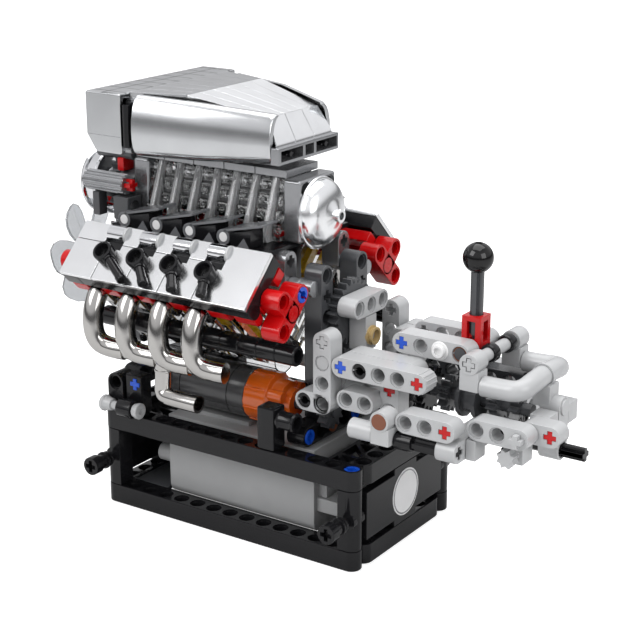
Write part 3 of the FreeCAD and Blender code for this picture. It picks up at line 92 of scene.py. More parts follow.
class Hole(Enum):
    """The kind of a beam's hole, by the letter that stands for it."""

    ROUND = "o"
    CROSS = "+"
    CLOSED = "."


class Axis(Enum):
    """The way a hole, pin or axle runs."""

    X = (1.0, 0.0, 0.0)
    Y = (0.0, 1.0, 0.0)
    Z = (0.0, 0.0, 1.0)

    @property
    def vector(self) -> Vector:
        """Return the axis as a unit vector."""
        return Vector(self.value)


@dataclass(frozen=True)
class Finish:
    """One material of the model: its colour, gloss and how its surface is worn.

    The colour is linear. clear is the share of light that passes through.
    """

    name: str
    slot: str
    colour: tuple[float, float, float]
    gloss: float = 0.24
    metal: float = 0.0
    coat: float = 0.0
    clear: float = 0.0
    wear: float = 0.5
    ripple: float = 0.06
    grain: float = 90.0
    ior: float = 1.49

    def build(self) -> bpy.types.Material:
        """Return the material, made on first use.

        Returns:
            The material with its own values on the shared surface groups.
        """
        known = bpy.data.materials.get(self.name)
        if known is not None:
            return known
        material = bpy.data.materials.new(self.name)
        material.use_nodes = True
        tree = material.node_tree
        shader = tree.nodes["Principled BSDF"]
        place = tree.nodes.new("ShaderNodeTexCoord")
        surface = tree.nodes.new("ShaderNodeGroup")
        surface.node_tree = SurfaceGroups.moulded()
        surface.inputs["Colour"].default_value = (*self.colour, 1.0)
        surface.inputs["Roughness"].default_value = self.gloss
        surface.inputs["Grain"].default_value = self.grain
        surface.inputs["Wear"].default_value = self.wear
        bump = tree.nodes.new("ShaderNodeBump")
        bump.inputs["Strength"].default_value = self.ripple
        bump.inputs["Distance"].default_value = RIPPLE_DEEP
        tree.links.new(place.outputs["Object"], surface.inputs["Place"])
        tree.links.new(surface.outputs["Colour"], shader.inputs["Base Color"])
        tree.links.new(surface.outputs["Roughness"], shader.inputs["Roughness"])
        tree.links.new(surface.outputs["Height"], bump.inputs["Height"])
        tree.links.new(bump.outputs["Normal"], shader.inputs["Normal"])
        shader.inputs["Metallic"].default_value = self.metal
        shader.inputs["Coat Weight"].default_value = self.coat
        shader.inputs["Coat Roughness"].default_value = 0.05
        shader.inputs["Transmission Weight"].default_value = self.clear
        shader.inputs["IOR"].default_value = self.ior
        return material


class SurfaceGroups:
    """The shader node groups that the finishes share."""

    @staticmethod
    def moulded() -> bpy.types.NodeTree:
        """Return the group for moulded plastic: faint colour drift, handling marks and surface ripple.

        Returns:
            The node group, made on first use.
        """
        known = bpy.data.node_groups.get("moulded_surface")
        if known is not None:
            return known
        group = bpy.data.node_groups.new("moulded_surface", "ShaderNodeTree")
        sides = group.interface
        sides.new_socket("Place", in_out="INPUT", socket_type="NodeSocketVector")
        sides.new_socket("Colour", in_out="INPUT", socket_type="NodeSocketColor")
        for name in ("Roughness", "Grain", "Wear"):
            sides.new_socket(name, in_out="INPUT", socket_type="NodeSocketFloat")
        sides.new_socket("Colour", in_out="OUTPUT", socket_type="NodeSocketColor")
        for name in ("Roughness", "Height"):
            sides.new_socket(name, in_out="OUTPUT", socket_type="NodeSocketFloat")
        nodes, links = group.nodes, group.links
        given = nodes.new("NodeGroupInput")
        result = nodes.new("NodeGroupOutput")
        drift = nodes.new("ShaderNodeTexNoise")
        drift.inputs["Detail"].default_value = 2.0
        links.new(given.outputs["Place"], drift.inputs["Vector"])
        links.new(given.outputs["Grain"], drift.inputs["Scale"])
        marks = nodes.new("ShaderNodeTexNoise")
        marks.inputs["Scale"].default_value = 400.0
        marks.inputs["Detail"].default_value = 4.0
        links.new(given.outputs["Place"], marks.inputs["Vector"])
        tone = nodes.new("ShaderNodeMapRange")
        tone.inputs["From Min"].default_value = 0.3
        tone.inputs["From Max"].default_value = 0.7
        tone.inputs["To Min"].default_value = 0.96
        tone.inputs["To Max"].default_value = 1.03
        links.new(drift.outputs["Fac"], tone.inputs["Value"])
        tint = nodes.new("ShaderNodeVectorMath")
        tint.operation = "SCALE"
        links.new(given.outputs["Colour"], tint.inputs[0])
        links.new(tone.outputs["Result"], tint.inputs["Scale"])
        links.new(tint.outputs["Vector"], result.inputs["Colour"])
        rub = nodes.new("ShaderNodeMath")
        rub.operation = "MULTIPLY_ADD"
        scaled = nodes.new("ShaderNodeMath")
        scaled.operation = "MULTIPLY"
        scaled.inputs[1].default_value = 0.1
        links.new(given.outputs["Wear"], scaled.inputs[0])
        links.new(marks.outputs["Fac"], rub.inputs[0])
        links.new(scaled.outputs["Value"], rub.inputs[1])
        links.new(given.outputs["Roughness"], rub.inputs[2])
        links.new(rub.outputs["Value"], result.inputs["Roughness"])
        height = nodes.new("ShaderNodeMath")
        height.operation = "ADD"
        links.new(drift.outputs["Fac"], height.inputs[0])
        links.new(marks.outputs["Fac"], height.inputs[1])
        links.new(height.outputs["Value"], result.inputs["Height"])
        return group


BLACK = Finish("black_moulding", "black_plastic", (0.007, 0.007, 0.008), 0.14, wear=0.3, ior=1.36)
BALL = Finish("polished_black", "black_plastic", (0.004, 0.004, 0.004), 0.06, wear=0.1, ior=1.42)
BOX_GREY = Finish("smoke_grey_box", "box_grey", (0.3, 0.303, 0.305), 0.34)
LIGHT = Finish("light_stone_grey", "light_grey", (0.4, 0.405, 0.41), 0.2)
DARK = Finish("dark_stone_grey", "dark_grey", (0.05, 0.052, 0.056), 0.18)
FLAP = Finish("flap_grey", "dark_grey", (0.12, 0.123, 0.13), 0.2)
MID = Finish("pearl_grey", "mid_grey", (0.3, 0.305, 0.315), 0.22, metal=0.8)
RED = Finish("bright_red", "red_plastic", (0.44, 0.002, 0.003), 0.14, ior=1.42)
BLUE = Finish("pin_blue", "blue_plastic", (0.006, 0.07, 0.5), 0.18)
ORANGE = Finish("motor_orange", "orange_plastic", (0.95, 0.17, 0.01), 0.14, coat=0.3, clear=0.4)
YELLOW = Finish("piston_yellow", "yellow_plastic", (0.72, 0.42, 0.01), 0.25)
CLEAR = Finish("clear_moulding", "clear_plastic", (0.95, 0.955, 0.96), 0.02, clear=1.0, wear=0.1)
# The ribs' clear plastic is whiter and less see-through than CLEAR: painted highlight that makes the ribs
# read light.
CLEAR_RIB_HIGHLIGHT = Finish("clear_rib_painted_highlight", "clear_plastic", (0.9, 0.91, 0.92), 0.05, clear=0.78, wear=0.1)
FAN_CLEAR = Finish("clear_fan_moulding", "clear_plastic", (0.72, 0.74, 0.76), 0.05, clear=0.85, wear=0.1)
TILE = Finish("tile_plating", "chrome_plastic", (0.8, 0.805, 0.815), 0.17, metal=1.0, wear=0.3)
CHROME = Finish("chrome_plating", "chrome_plastic", (0.7, 0.705, 0.72), 0.06, metal=1.0, wear=0.25)
CHROME_SATIN = Finish("soft_plating", "silver_plastic", (0.88, 0.89, 0.9), 0.2, metal=1.0, wear=0.25)
PIPE = Finish("pipe_plating", "chrome_plastic", (0.46, 0.45, 0.435), 0.1, metal=1.0, wear=0.3)
SILVER = Finish("satin_silver", "silver_plastic", (0.55, 0.56, 0.57), 0.2, metal=1.0, wear=0.4)
MOTOR = Finish("motor_case_grey", "motor_dark", (0.07, 0.07, 0.072), 0.18, clear=0.3)
WHITE = Finish("white_moulding", "light_grey", (0.72, 0.72, 0.72), 0.22)
BROWN = Finish("pin_brown", "dark_grey", (0.16, 0.05, 0.022), 0.2)
TAN = Finish("bush_tan", "light_grey", (0.5, 0.36, 0.16), 0.28)


class Bench:
    """The modelling bench: the operations that every sub-assembly is made with. Sizes are millimetres."""

    def __init__(self) -> None:
        """Start with no master shapes."""
        self.masters: dict[str, bpy.types.Object] = {}

    @staticmethod
    def only(first: bpy.types.Object, others: Iterable[bpy.types.Object] = ()) -> None:
        """Select these objects alone.

        Args:
            first: The object that becomes the active one.
            others: What is selected beside it.
        """
        if bpy.context.object is not None and bpy.context.object.mode != "OBJECT":
            bpy.ops.object.mode_set(mode="OBJECT")
        bpy.ops.object.select_all(action="DESELECT")
        for item in (first, *others):
            item.select_set(True)
        bpy.context.view_layer.objects.active = first

    def settle(self, piece: bpy.types.Object, matrix: Optional[Matrix] = None) -> bpy.types.Object:
        """Move a piece and put its place into its mesh.

        Args:
            piece: The piece, with any place, turn and scale.
            matrix: How it is moved, in millimetres.

        Returns:
            The same piece, at the origin, unturned and unscaled.
        """
        if matrix is not None:
            shift = matrix.copy()
            shift.translation = matrix.translation * MM
            piece.matrix_world = shift @ piece.matrix_world
        self.only(piece)
        bpy.ops.object.transform_apply(location=True, rotation=True, scale=True)
        return piece

    def modify(self, piece: bpy.types.Object, kind: str, **values: object) -> bpy.types.Object:
        """Add a modifier and apply it.

        Args:
            piece: The piece that is changed.
            kind: The modifier's type.
            **values: The modifier's settings.

        Returns:
            The same piece.
        """
        step = piece.modifiers.new(kind.lower(), kind)
        for key, value in values.items():
            setattr(step, key, value)
        self.only(piece)
        bpy.ops.object.modifier_apply(modifier=step.name)
        return piece

    def soften(self, piece: bpy.types.Object, width: float = 0.25, segments: int = 2) -> bpy.types.Object:
        """Round a piece's sharp edges."""
        return self.modify(piece, "BEVEL", width=width * MM, segments=segments, limit_method="ANGLE",
                           angle_limit=math.radians(40.0), harden_normals=False)

    def block(self, low: Point, high: Point, round_off: float = 0.25) -> bpy.types.Object:
        """Return a box with rounded edges.

        Args:
            low: The corner with the lowest coordinates.
            high: The opposite corner.
            round_off: The width of the rounding, 0 for sharp edges.

        Returns:
            The box in its place.
        """
        bpy.ops.mesh.primitive_cube_add(size=1.0)
        piece = bpy.context.object
        piece.scale = [(b - a) * MM for a, b in zip(low, high)]
        piece.location = [(a + b) / 2.0 * MM for a, b in zip(low, high)]
        self.settle(piece)
        return self.soften(piece, round_off) if round_off else piece

    def bar(self, start: Point, end: Point, radius: float, sides: int = 32,
            round_off: float = 0.2) -> bpy.types.Object:
        """Return a round bar.

        Args:
            start: The middle of its first end.
            end: The middle of its other end.
            radius: Its radius.
            sides: How many flat sides make its round.
            round_off: The width of the rounding at its ends, 0 for sharp ends.

        Returns:
            The bar in its place.
        """
        first, last = Vector(start), Vector(end)
        run = last - first
        bpy.ops.mesh.primitive_cone_add(vertices=sides, radius1=radius * MM, radius2=radius * MM,
                                        depth=run.length * MM)
        piece = bpy.context.object
        piece.rotation_mode = "QUATERNION"
        piece.rotation_quaternion = Vector((0, 0, 1)).rotation_difference(run)
        piece.location = (first + last) / 2.0 * MM
        self.settle(piece)
        return self.soften(piece, round_off) if round_off else piece

    @staticmethod
    def outline(points: Sequence[Point], filled: bool = False) -> bpy.types.Object:
        """Return a closed outline: a circle whose vertices are moved to the points.

        Args:
            points: The outline's corners in order.
            filled: Whether it gets a face.

        Returns:
            The outline.
        """
        bpy.ops.mesh.primitive_circle_add(vertices=len(points), fill_type="NGON" if filled else "NOTHING")
        piece = bpy.context.object
        for vertex, point in zip(piece.data.vertices, points):
            vertex.co = Vector(point) * MM
        return piece

    def close(self, piece: bpy.types.Object) -> bpy.types.Object:
        """Merge a piece's doubled vertices and turn its normals outwards.

        Args:
            piece: A closed shell.

        Returns:
            The same piece.
        """
        self.only(piece)
        bpy.ops.object.mode_set(mode="EDIT")
        bpy.ops.mesh.select_all(action="SELECT")
        bpy.ops.mesh.remove_doubles(threshold=1e-6)
        bpy.ops.mesh.normals_make_consistent(inside=False)
        bpy.ops.object.mode_set(mode="OBJECT")
        return piece

    def plate(self, points: Sequence[Point], push: Point, round_off: float = 0.25) -> bpy.types.Object:
        """Return a slab: a filled outline pushed out by extrude.

        Args:
            points: The outline's corners in order.
            push: How far and which way it is pushed.
            round_off: The width of the rounding, 0 for sharp edges.

        Returns:
            The slab.
        """
        piece = self.outline(points, True)
        self.only(piece)
        bpy.ops.object.mode_set(mode="EDIT")
        bpy.ops.mesh.select_all(action="SELECT")
        bpy.ops.mesh.extrude_region_move(TRANSFORM_OT_translate={"value": Vector(push) * MM})
        bpy.ops.object.mode_set(mode="OBJECT")
        self.close(piece)
        return self.soften(piece, round_off) if round_off else piece

    def turned(self, profile: Sequence[tuple[float, float]], start: Point, axis: Axis = Axis.X,
               steps: int = 48) -> bpy.types.Object:
        """Return a piece spun about an axis.

        Args:
            profile: A closed profile, as places along the axis and radii.
            start: Where the profile's place 0 lies.
            axis: The axis that it is spun about.
            steps: How many steps a full turn has.

        Returns:
            The piece in its place.
        """
        piece = self.outline([(radius, 0, along) for along, radius in profile])
        self.only(piece)
        bpy.ops.object.mode_set(mode="EDIT")
        bpy.ops.mesh.select_all(action="SELECT")
        bpy.ops.mesh.spin(steps=steps, angle=2.0 * math.pi, center=(0, 0, 0), axis=(0, 0, 1))
        bpy.ops.mesh.select_all(action="SELECT")
        bpy.ops.mesh.remove_doubles(threshold=1e-6)
        bpy.ops.mesh.delete_loose(use_verts=True, use_edges=True, use_faces=False)
        bpy.ops.object.mode_set(mode="OBJECT")
        self.close(piece)
        piece.rotation_mode = "QUATERNION"
        piece.rotation_quaternion = Vector((0, 0, 1)).rotation_difference(axis.vector)
        piece.location = Vector(start) * MM
        return self.settle(piece)

    def loft(self, sections: Sequence[Sequence[Point]]) -> bpy.types.Object:
        """Return a piece bridged through closed sections.

        Args:
            sections: The sections in order, each with the same number of points.

        Returns:
            The piece, closed at both ends.
        """
        piece = self.join([self.outline(section) for section in sections])
        order = self.section_order(piece, sections)
        for low, high in zip(order, order[1:]):
            self.pick(piece, (*low, *high))
            bpy.ops.object.mode_set(mode="EDIT")
            bpy.ops.mesh.bridge_edge_loops()
            bpy.ops.object.mode_set(mode="OBJECT")
        for end in (order[0], order[-1]):
            self.pick(piece, end)
            bpy.ops.object.mode_set(mode="EDIT")
            bpy.ops.mesh.edge_face_add()
            bpy.ops.object.mode_set(mode="OBJECT")
        return self.close(piece)

    @staticmethod
    def section_order(piece: bpy.types.Object, sections: Sequence[Sequence[Point]]) -> list[list[int]]:
        """Find the vertices of each section by their places.

        Args:
            piece: The joined sections.
            sections: The points that each section was made from.

        Returns:
            The vertex numbers of each section, in its points' order.
        """
        vertices = piece.data.vertices
        found = []
        for section in sections:
            spots = [Vector(point) * MM for point in section]
            found.append([min(vertices, key=lambda v: (v.co - spot).length).index for spot in spots])
        return found

    def pick(self, piece: bpy.types.Object, numbers: Iterable[int]) -> None:
        """Select only these vertices of a piece, and the edges between them.

        Args:
            piece: The piece, which is left in object mode.
            numbers: The vertices' numbers.
        """
        self.only(piece)
        bpy.ops.object.mode_set(mode="EDIT")
        bpy.ops.mesh.select_mode(type="VERT")
        bpy.ops.mesh.select_all(action="DESELECT")
        bpy.ops.object.mode_set(mode="OBJECT")
        for number in numbers:
            piece.data.vertices[number].select = True

    def gear(self, place: Point, teeth: int, phase: float) -> bpy.types.Object:
        """Return a gear of module 1 across X, with a bore, and a recessed web where it is large.

        Args:
            place: The gear's middle.
            teeth: How many teeth it has.
            phase: The angle of its first tooth, in radians.

        Returns:
            The gear in its place.
        """
        thick, hub, dish, large = 3.8, 4.6, 2.0, 24
        tip, root, step = teeth / 2.0 + 0.8, teeth / 2.0 - 1.2, 2.0 * math.pi / teeth
        foot, crown = 0.97, 0.28
        points = []
        for tooth in range(teeth):
            middle = phase + tooth * step
            for radius, reach in ((root, -foot), (tip, -crown), (tip, crown), (root, foot)):
                angle = middle + reach / radius
                points.append((-thick / 2.0, radius * math.cos(angle), radius * math.sin(angle)))
        wheel = self.plate(points, (thick, 0, 0), 0.12)
        cutters = [self.bar((-thick, 0, 0), (thick, 0, 0), 2.0, 24, 0.0)]
        if teeth >= large:
            rim = root - 1.6
            for start in (-thick / 2.0 - 0.8, thick / 2.0 - 1.2):
                cutters.append(self.turned([(0, hub), (0, rim), (dish, rim), (dish, hub)], (start, 0, 0)))
        self.cut(wheel, cutters)
        return self.settle(wheel, Matrix.Translation(place))

    @staticmethod
    def mesh_phase(first: tuple[float, float], second: tuple[float, float], teeth_first: int,
                   phase_first: float, teeth_second: int) -> float:
        """Return the phase at which two gears mesh.

        Args:
            first: The first gear's place across the shafts.
            second: The second gear's place across the shafts.
            teeth_first: How many teeth the first gear has.
            phase_first: The first gear's phase, in radians.
            teeth_second: How many teeth the second gear has.

        Returns:
            The phase, in radians, at which the second gear's gap meets the first gear's tooth.
        """
        direction = math.atan2(second[1] - first[1], second[0] - first[0])
        share = (direction - phase_first) / (2.0 * math.pi / teeth_first)
        return direction + math.pi - (0.5 - share) * 2.0 * math.pi / teeth_second

    def copy(self, piece: bpy.types.Object, matrix: Optional[Matrix] = None) -> bpy.types.Object:
        """Return a copy of a piece with its own mesh.

        Args:
            piece: The piece that is copied.
            matrix: How the copy is moved, in millimetres.

        Returns:
            The copy.
        """
        twin = piece.copy()
        twin.data = piece.data.copy()
        bpy.context.collection.objects.link(twin)
        return self.settle(twin, matrix)

    def mirror(self, piece: bpy.types.Object) -> bpy.types.Object:
        """Return a piece's twin on the far side of the engine, with its own mesh.

        Args:
            piece: A piece of the near side.

        Returns:
            The twin.
        """
        twin = self.copy(piece)
        twin.scale = (1.0, -1.0, 1.0)
        self.settle(twin)
        bpy.ops.object.mode_set(mode="EDIT")
        bpy.ops.mesh.select_all(action="SELECT")
        bpy.ops.mesh.normals_make_consistent(inside=False)
        bpy.ops.object.mode_set(mode="OBJECT")
        return twin

    @staticmethod
    def discard(pieces: Iterable[bpy.types.Object]) -> None:
        """Remove pieces that are no longer needed."""
        for piece in pieces:
            bpy.data.objects.remove(piece)

    def join(self, pieces: Sequence[bpy.types.Object]) -> bpy.types.Object:
        """Return the pieces as one object.

        Args:
            pieces: The pieces, which the first one takes in.

        Returns:
            The first piece.
        """
        self.only(pieces[0], pieces[1:])
        if len(pieces) > 1:
            bpy.ops.object.join()
        return pieces[0]

    def cut(self, piece: bpy.types.Object, cutters: Sequence[bpy.types.Object]) -> bpy.types.Object:
        """Cut the cutters out of a piece and remove them.

        Args:
            piece: The piece that is cut.
            cutters: Closed shapes that don't touch each other.

        Returns:
            The same piece.
        """
        tool = self.join(list(cutters))
        self.modify(piece, "BOOLEAN", operation="DIFFERENCE", solver="EXACT", object=tool)
        bpy.data.objects.remove(tool)
        return piece

    def cross(self, start: Point, end: Point, reach: float = AXLE, arm: float = 1.8) -> bpy.types.Object:
        """Return an axle with a cross section: a cross outline pushed out along its length.

        Args:
            start: The middle of its first end.
            end: The middle of its other end.
            reach: How far its arms reach from the middle.
            arm: The arms' width.

        Returns:
            The axle in its place.
        """
        first, last = Vector(start), Vector(end)
        half = arm / 2.0
        quarter = [(reach, -half), (reach, half), (half, half)]
        outline = []
        for turn in range(4):
            cos, sin = (1, 0, -1, 0)[turn], (0, 1, 0, -1)[turn]
            outline += [(x * cos - y * sin, x * sin + y * cos, 0) for x, y in quarter]
        piece = self.plate(outline, (0, 0, (last - first).length), 0.15)
        turned = Vector((0, 0, 1)).rotation_difference(last - first).to_matrix().to_4x4()
        return self.settle(piece, Matrix.Translation(first) @ turned)

    def hole_cutter(self) -> bpy.types.Object:
        """Return a new cutter for a round hole: a bore with a wider recess at both faces.

        Returns:
            The cutter along Z, with its middle at the origin.
        """
        if "hole" not in self.masters:
            bpy.ops.mesh.primitive_cylinder_add(vertices=28, radius=BORE * MM, depth=6.2 * MM)
            cutter = bpy.context.object
            for side in (-1, 1):
                self.only(cutter)
                bpy.ops.object.mode_set(mode="EDIT")
                bpy.ops.mesh.select_all(action="DESELECT")
                bpy.ops.object.mode_set(mode="OBJECT")
                for face in cutter.data.polygons:
                    face.select = face.normal.z * side > 0.9 and face.center.z * side > 2.0 * MM
                bpy.ops.object.mode_set(mode="EDIT")
                bpy.ops.mesh.extrude_region_move(TRANSFORM_OT_translate={"value": (0, 0, 0)})
                bpy.ops.transform.resize(value=(RECESS / BORE, RECESS / BORE, 1.0))
                bpy.ops.mesh.extrude_region_move(TRANSFORM_OT_translate={"value": (0, 0, side * 1.6 * MM)})
                bpy.ops.object.mode_set(mode="OBJECT")
            cutter.hide_render = True
            self.masters["hole"] = cutter
        twin = self.copy(self.masters["hole"])
        twin.hide_render = False
        return twin

    def beam(self, first: Point, last: Point, bore: Axis, holes: str = "") -> bpy.types.Object:
        """Return a round-ended beam from hole to hole.

        Args:
            first: The centre of the first hole.
            last: The centre of the last hole.
            bore: The way the holes run.
            holes: One letter a hole: o is round, + is a cross, . is closed.

        Returns:
            The beam in its place.
        """
        start = Vector(first)
        run = Vector(last) - start
        count = int(round(run.length / PITCH)) + 1
        holes = holes or Hole.ROUND.value * count
        if holes not in self.masters:
            self.masters[holes] = self.new_beam(holes)
        along = run.normalized() if run.length > 1e-6 else Vector((0, 0, 1))
        up = bore.vector
        if abs(along.dot(up)) > 0.9:
            along = Vector((1, 0, 0)) if abs(up.x) < 0.9 else Vector((0, 0, 1))
        turn = Matrix((along, up.cross(along), up)).transposed().to_4x4()
        twin = self.copy(self.masters[holes], Matrix.Translation(start) @ turn)
        twin.hide_render = False
        return twin

    def new_beam(self, holes: str) -> bpy.types.Object:
        """Return a new beam along X from the origin, its holes along Z.

        Args:
            holes: One letter a hole: o is round, + is a cross, . is closed.

        Returns:
            The beam, hidden from the render.
        """
        long = (len(holes) - 1) * PITCH
        piece = self.block((-HALF, -HALF, -HALF), (long + HALF, HALF, HALF), 0.0)
        self.only(piece)
        bpy.ops.object.mode_set(mode="EDIT")
        bpy.ops.mesh.select_mode(type="EDGE")
        bpy.ops.mesh.select_all(action="DESELECT")
        bpy.ops.object.mode_set(mode="OBJECT")
        for edge in piece.data.edges:
            low, high = (piece.data.vertices[k].co for k in edge.vertices)
            edge.select = abs(high.z - low.z) > 1.0 * MM
        bpy.ops.object.mode_set(mode="EDIT")
        bpy.ops.mesh.bevel(offset=(HALF - 0.1) * MM, segments=10, affect="EDGES")
        bpy.ops.mesh.select_mode(type="VERT")
        bpy.ops.object.mode_set(mode="OBJECT")
        self.soften(piece, 0.3, 2)
        rounds, arms, bars = [], [], []
        for k, letter in enumerate(holes):
            kind = Hole(letter)
            place = Matrix.Translation((k * PITCH, 0, 0))
            if kind is Hole.ROUND:
                rounds.append(self.settle(self.hole_cutter(), place))
            if kind is Hole.CROSS:
                arms.append(self.settle(self.block((-BORE, -SLOT, -5), (BORE, SLOT, 5), 0.0), place))
                bars.append(self.settle(self.block((-SLOT, -BORE, -5), (SLOT, BORE, 5), 0.0), place))
        for tools in (rounds + arms, bars):
            if tools:
                self.cut(piece, tools)
        piece.hide_render = True
        return piece

    def pin_end(self, place: Point, axis: Axis, side: int) -> bpy.types.Object:
        """Return the visible end of a pin, with its bore and slot.

        Args:
            place: The middle of its face.
            axis: The axis that the pin runs along.
            side: 1 to face the axis's own way, -1 to face the other way.

        Returns:
            The pin's end in its place.
        """
        if "pin" not in self.masters:
            pin = self.bar((0, 0, -5.0), (0, 0, 0), PIN, 28, 0.15)
            self.cut(pin, [self.bar((0, 0, -4.0), (0, 0, 1.0), 1.6, 20, 0.0)])
            self.cut(pin, [self.block((-4, -0.4, -2.2), (4, 0.4, 1.0), 0.0)])
            pin.hide_render = True
            self.masters["pin"] = pin
        turn = Vector((0, 0, 1)).rotation_difference(axis.vector * side).to_matrix().to_4x4()
        twin = self.copy(self.masters["pin"], Matrix.Translation(Vector(place)) @ turn)
        twin.hide_render = False
        return twin

    def pipe(self, points: Sequence[Point], radius: float) -> bpy.types.Object:
        """Return a round pipe along a smooth line.

        Args:
            points: The points that its bends follow. It starts at the first and ends at the last.
            radius: Its radius.

        Returns:
            The pipe, closed at both ends.
        """
        line = bpy.data.curves.new("pipe_line", "CURVE")
        line.dimensions = "3D"
        line.bevel_depth = radius * MM
        line.bevel_resolution = 8
        line.resolution_u = 10
        line.use_fill_caps = True
        spline = line.splines.new("NURBS")
        spline.points.add(len(points) - 1)
        for knot, point in zip(spline.points, points):
            knot.co = (*(Vector(point) * MM), 1.0)
        spline.order_u = 3
        spline.use_endpoint_u = True
        piece = bpy.data.objects.new("pipe", line)
        bpy.context.collection.objects.link(piece)
        self.only(piece)
        bpy.ops.object.convert(target="MESH")
        return bpy.context.object

    def deliver(self, name: str, pieces: Sequence[bpy.types.Object], finish: Finish, body: Body,
                nodes: Sequence[str] = (), smooth: float = 40.0) -> bpy.types.Object:
        """Join, smooth, dress and hand over a finished piece.

        Args:
            name: The piece's name.
            pieces: What it is joined from.
            finish: Its material.
            body: The body of the model that it moves with.
            nodes: The solids that it stands for.
            smooth: The angle up to which its faces are shaded smooth.

        Returns:
            The finished piece.
        """
        piece = self.join(list(pieces))
        piece.name = name
        piece.data.name = name
        self.only(piece)
        bpy.ops.object.shade_smooth_by_angle(angle=math.radians(smooth))
        self.modify(piece, "WEIGHTED_NORMAL", weight=50, keep_sharp=True)
        piece.data.materials.clear()
        piece.data.materials.append(finish.build())
        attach(piece, body.value)
        if nodes:
            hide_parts(*nodes)
        LOG.info("%s: %d faces on %s", name, len(piece.data.polygons), body.value)
        return piece

    def clear_masters(self) -> None:
        """Remove the master shapes that copies were made from."""
        for master in self.masters.values():
            bpy.data.objects.remove(master)
        self.masters.clear()


def bank_matrix() -> Matrix:
    """Return the matrix that tilts what is drawn upright over the crank axis onto the near bank."""
    return Matrix.Translation((0, 0, CRANK_Z)) @ Matrix.Rotation(math.radians(45.0), 4, "X")


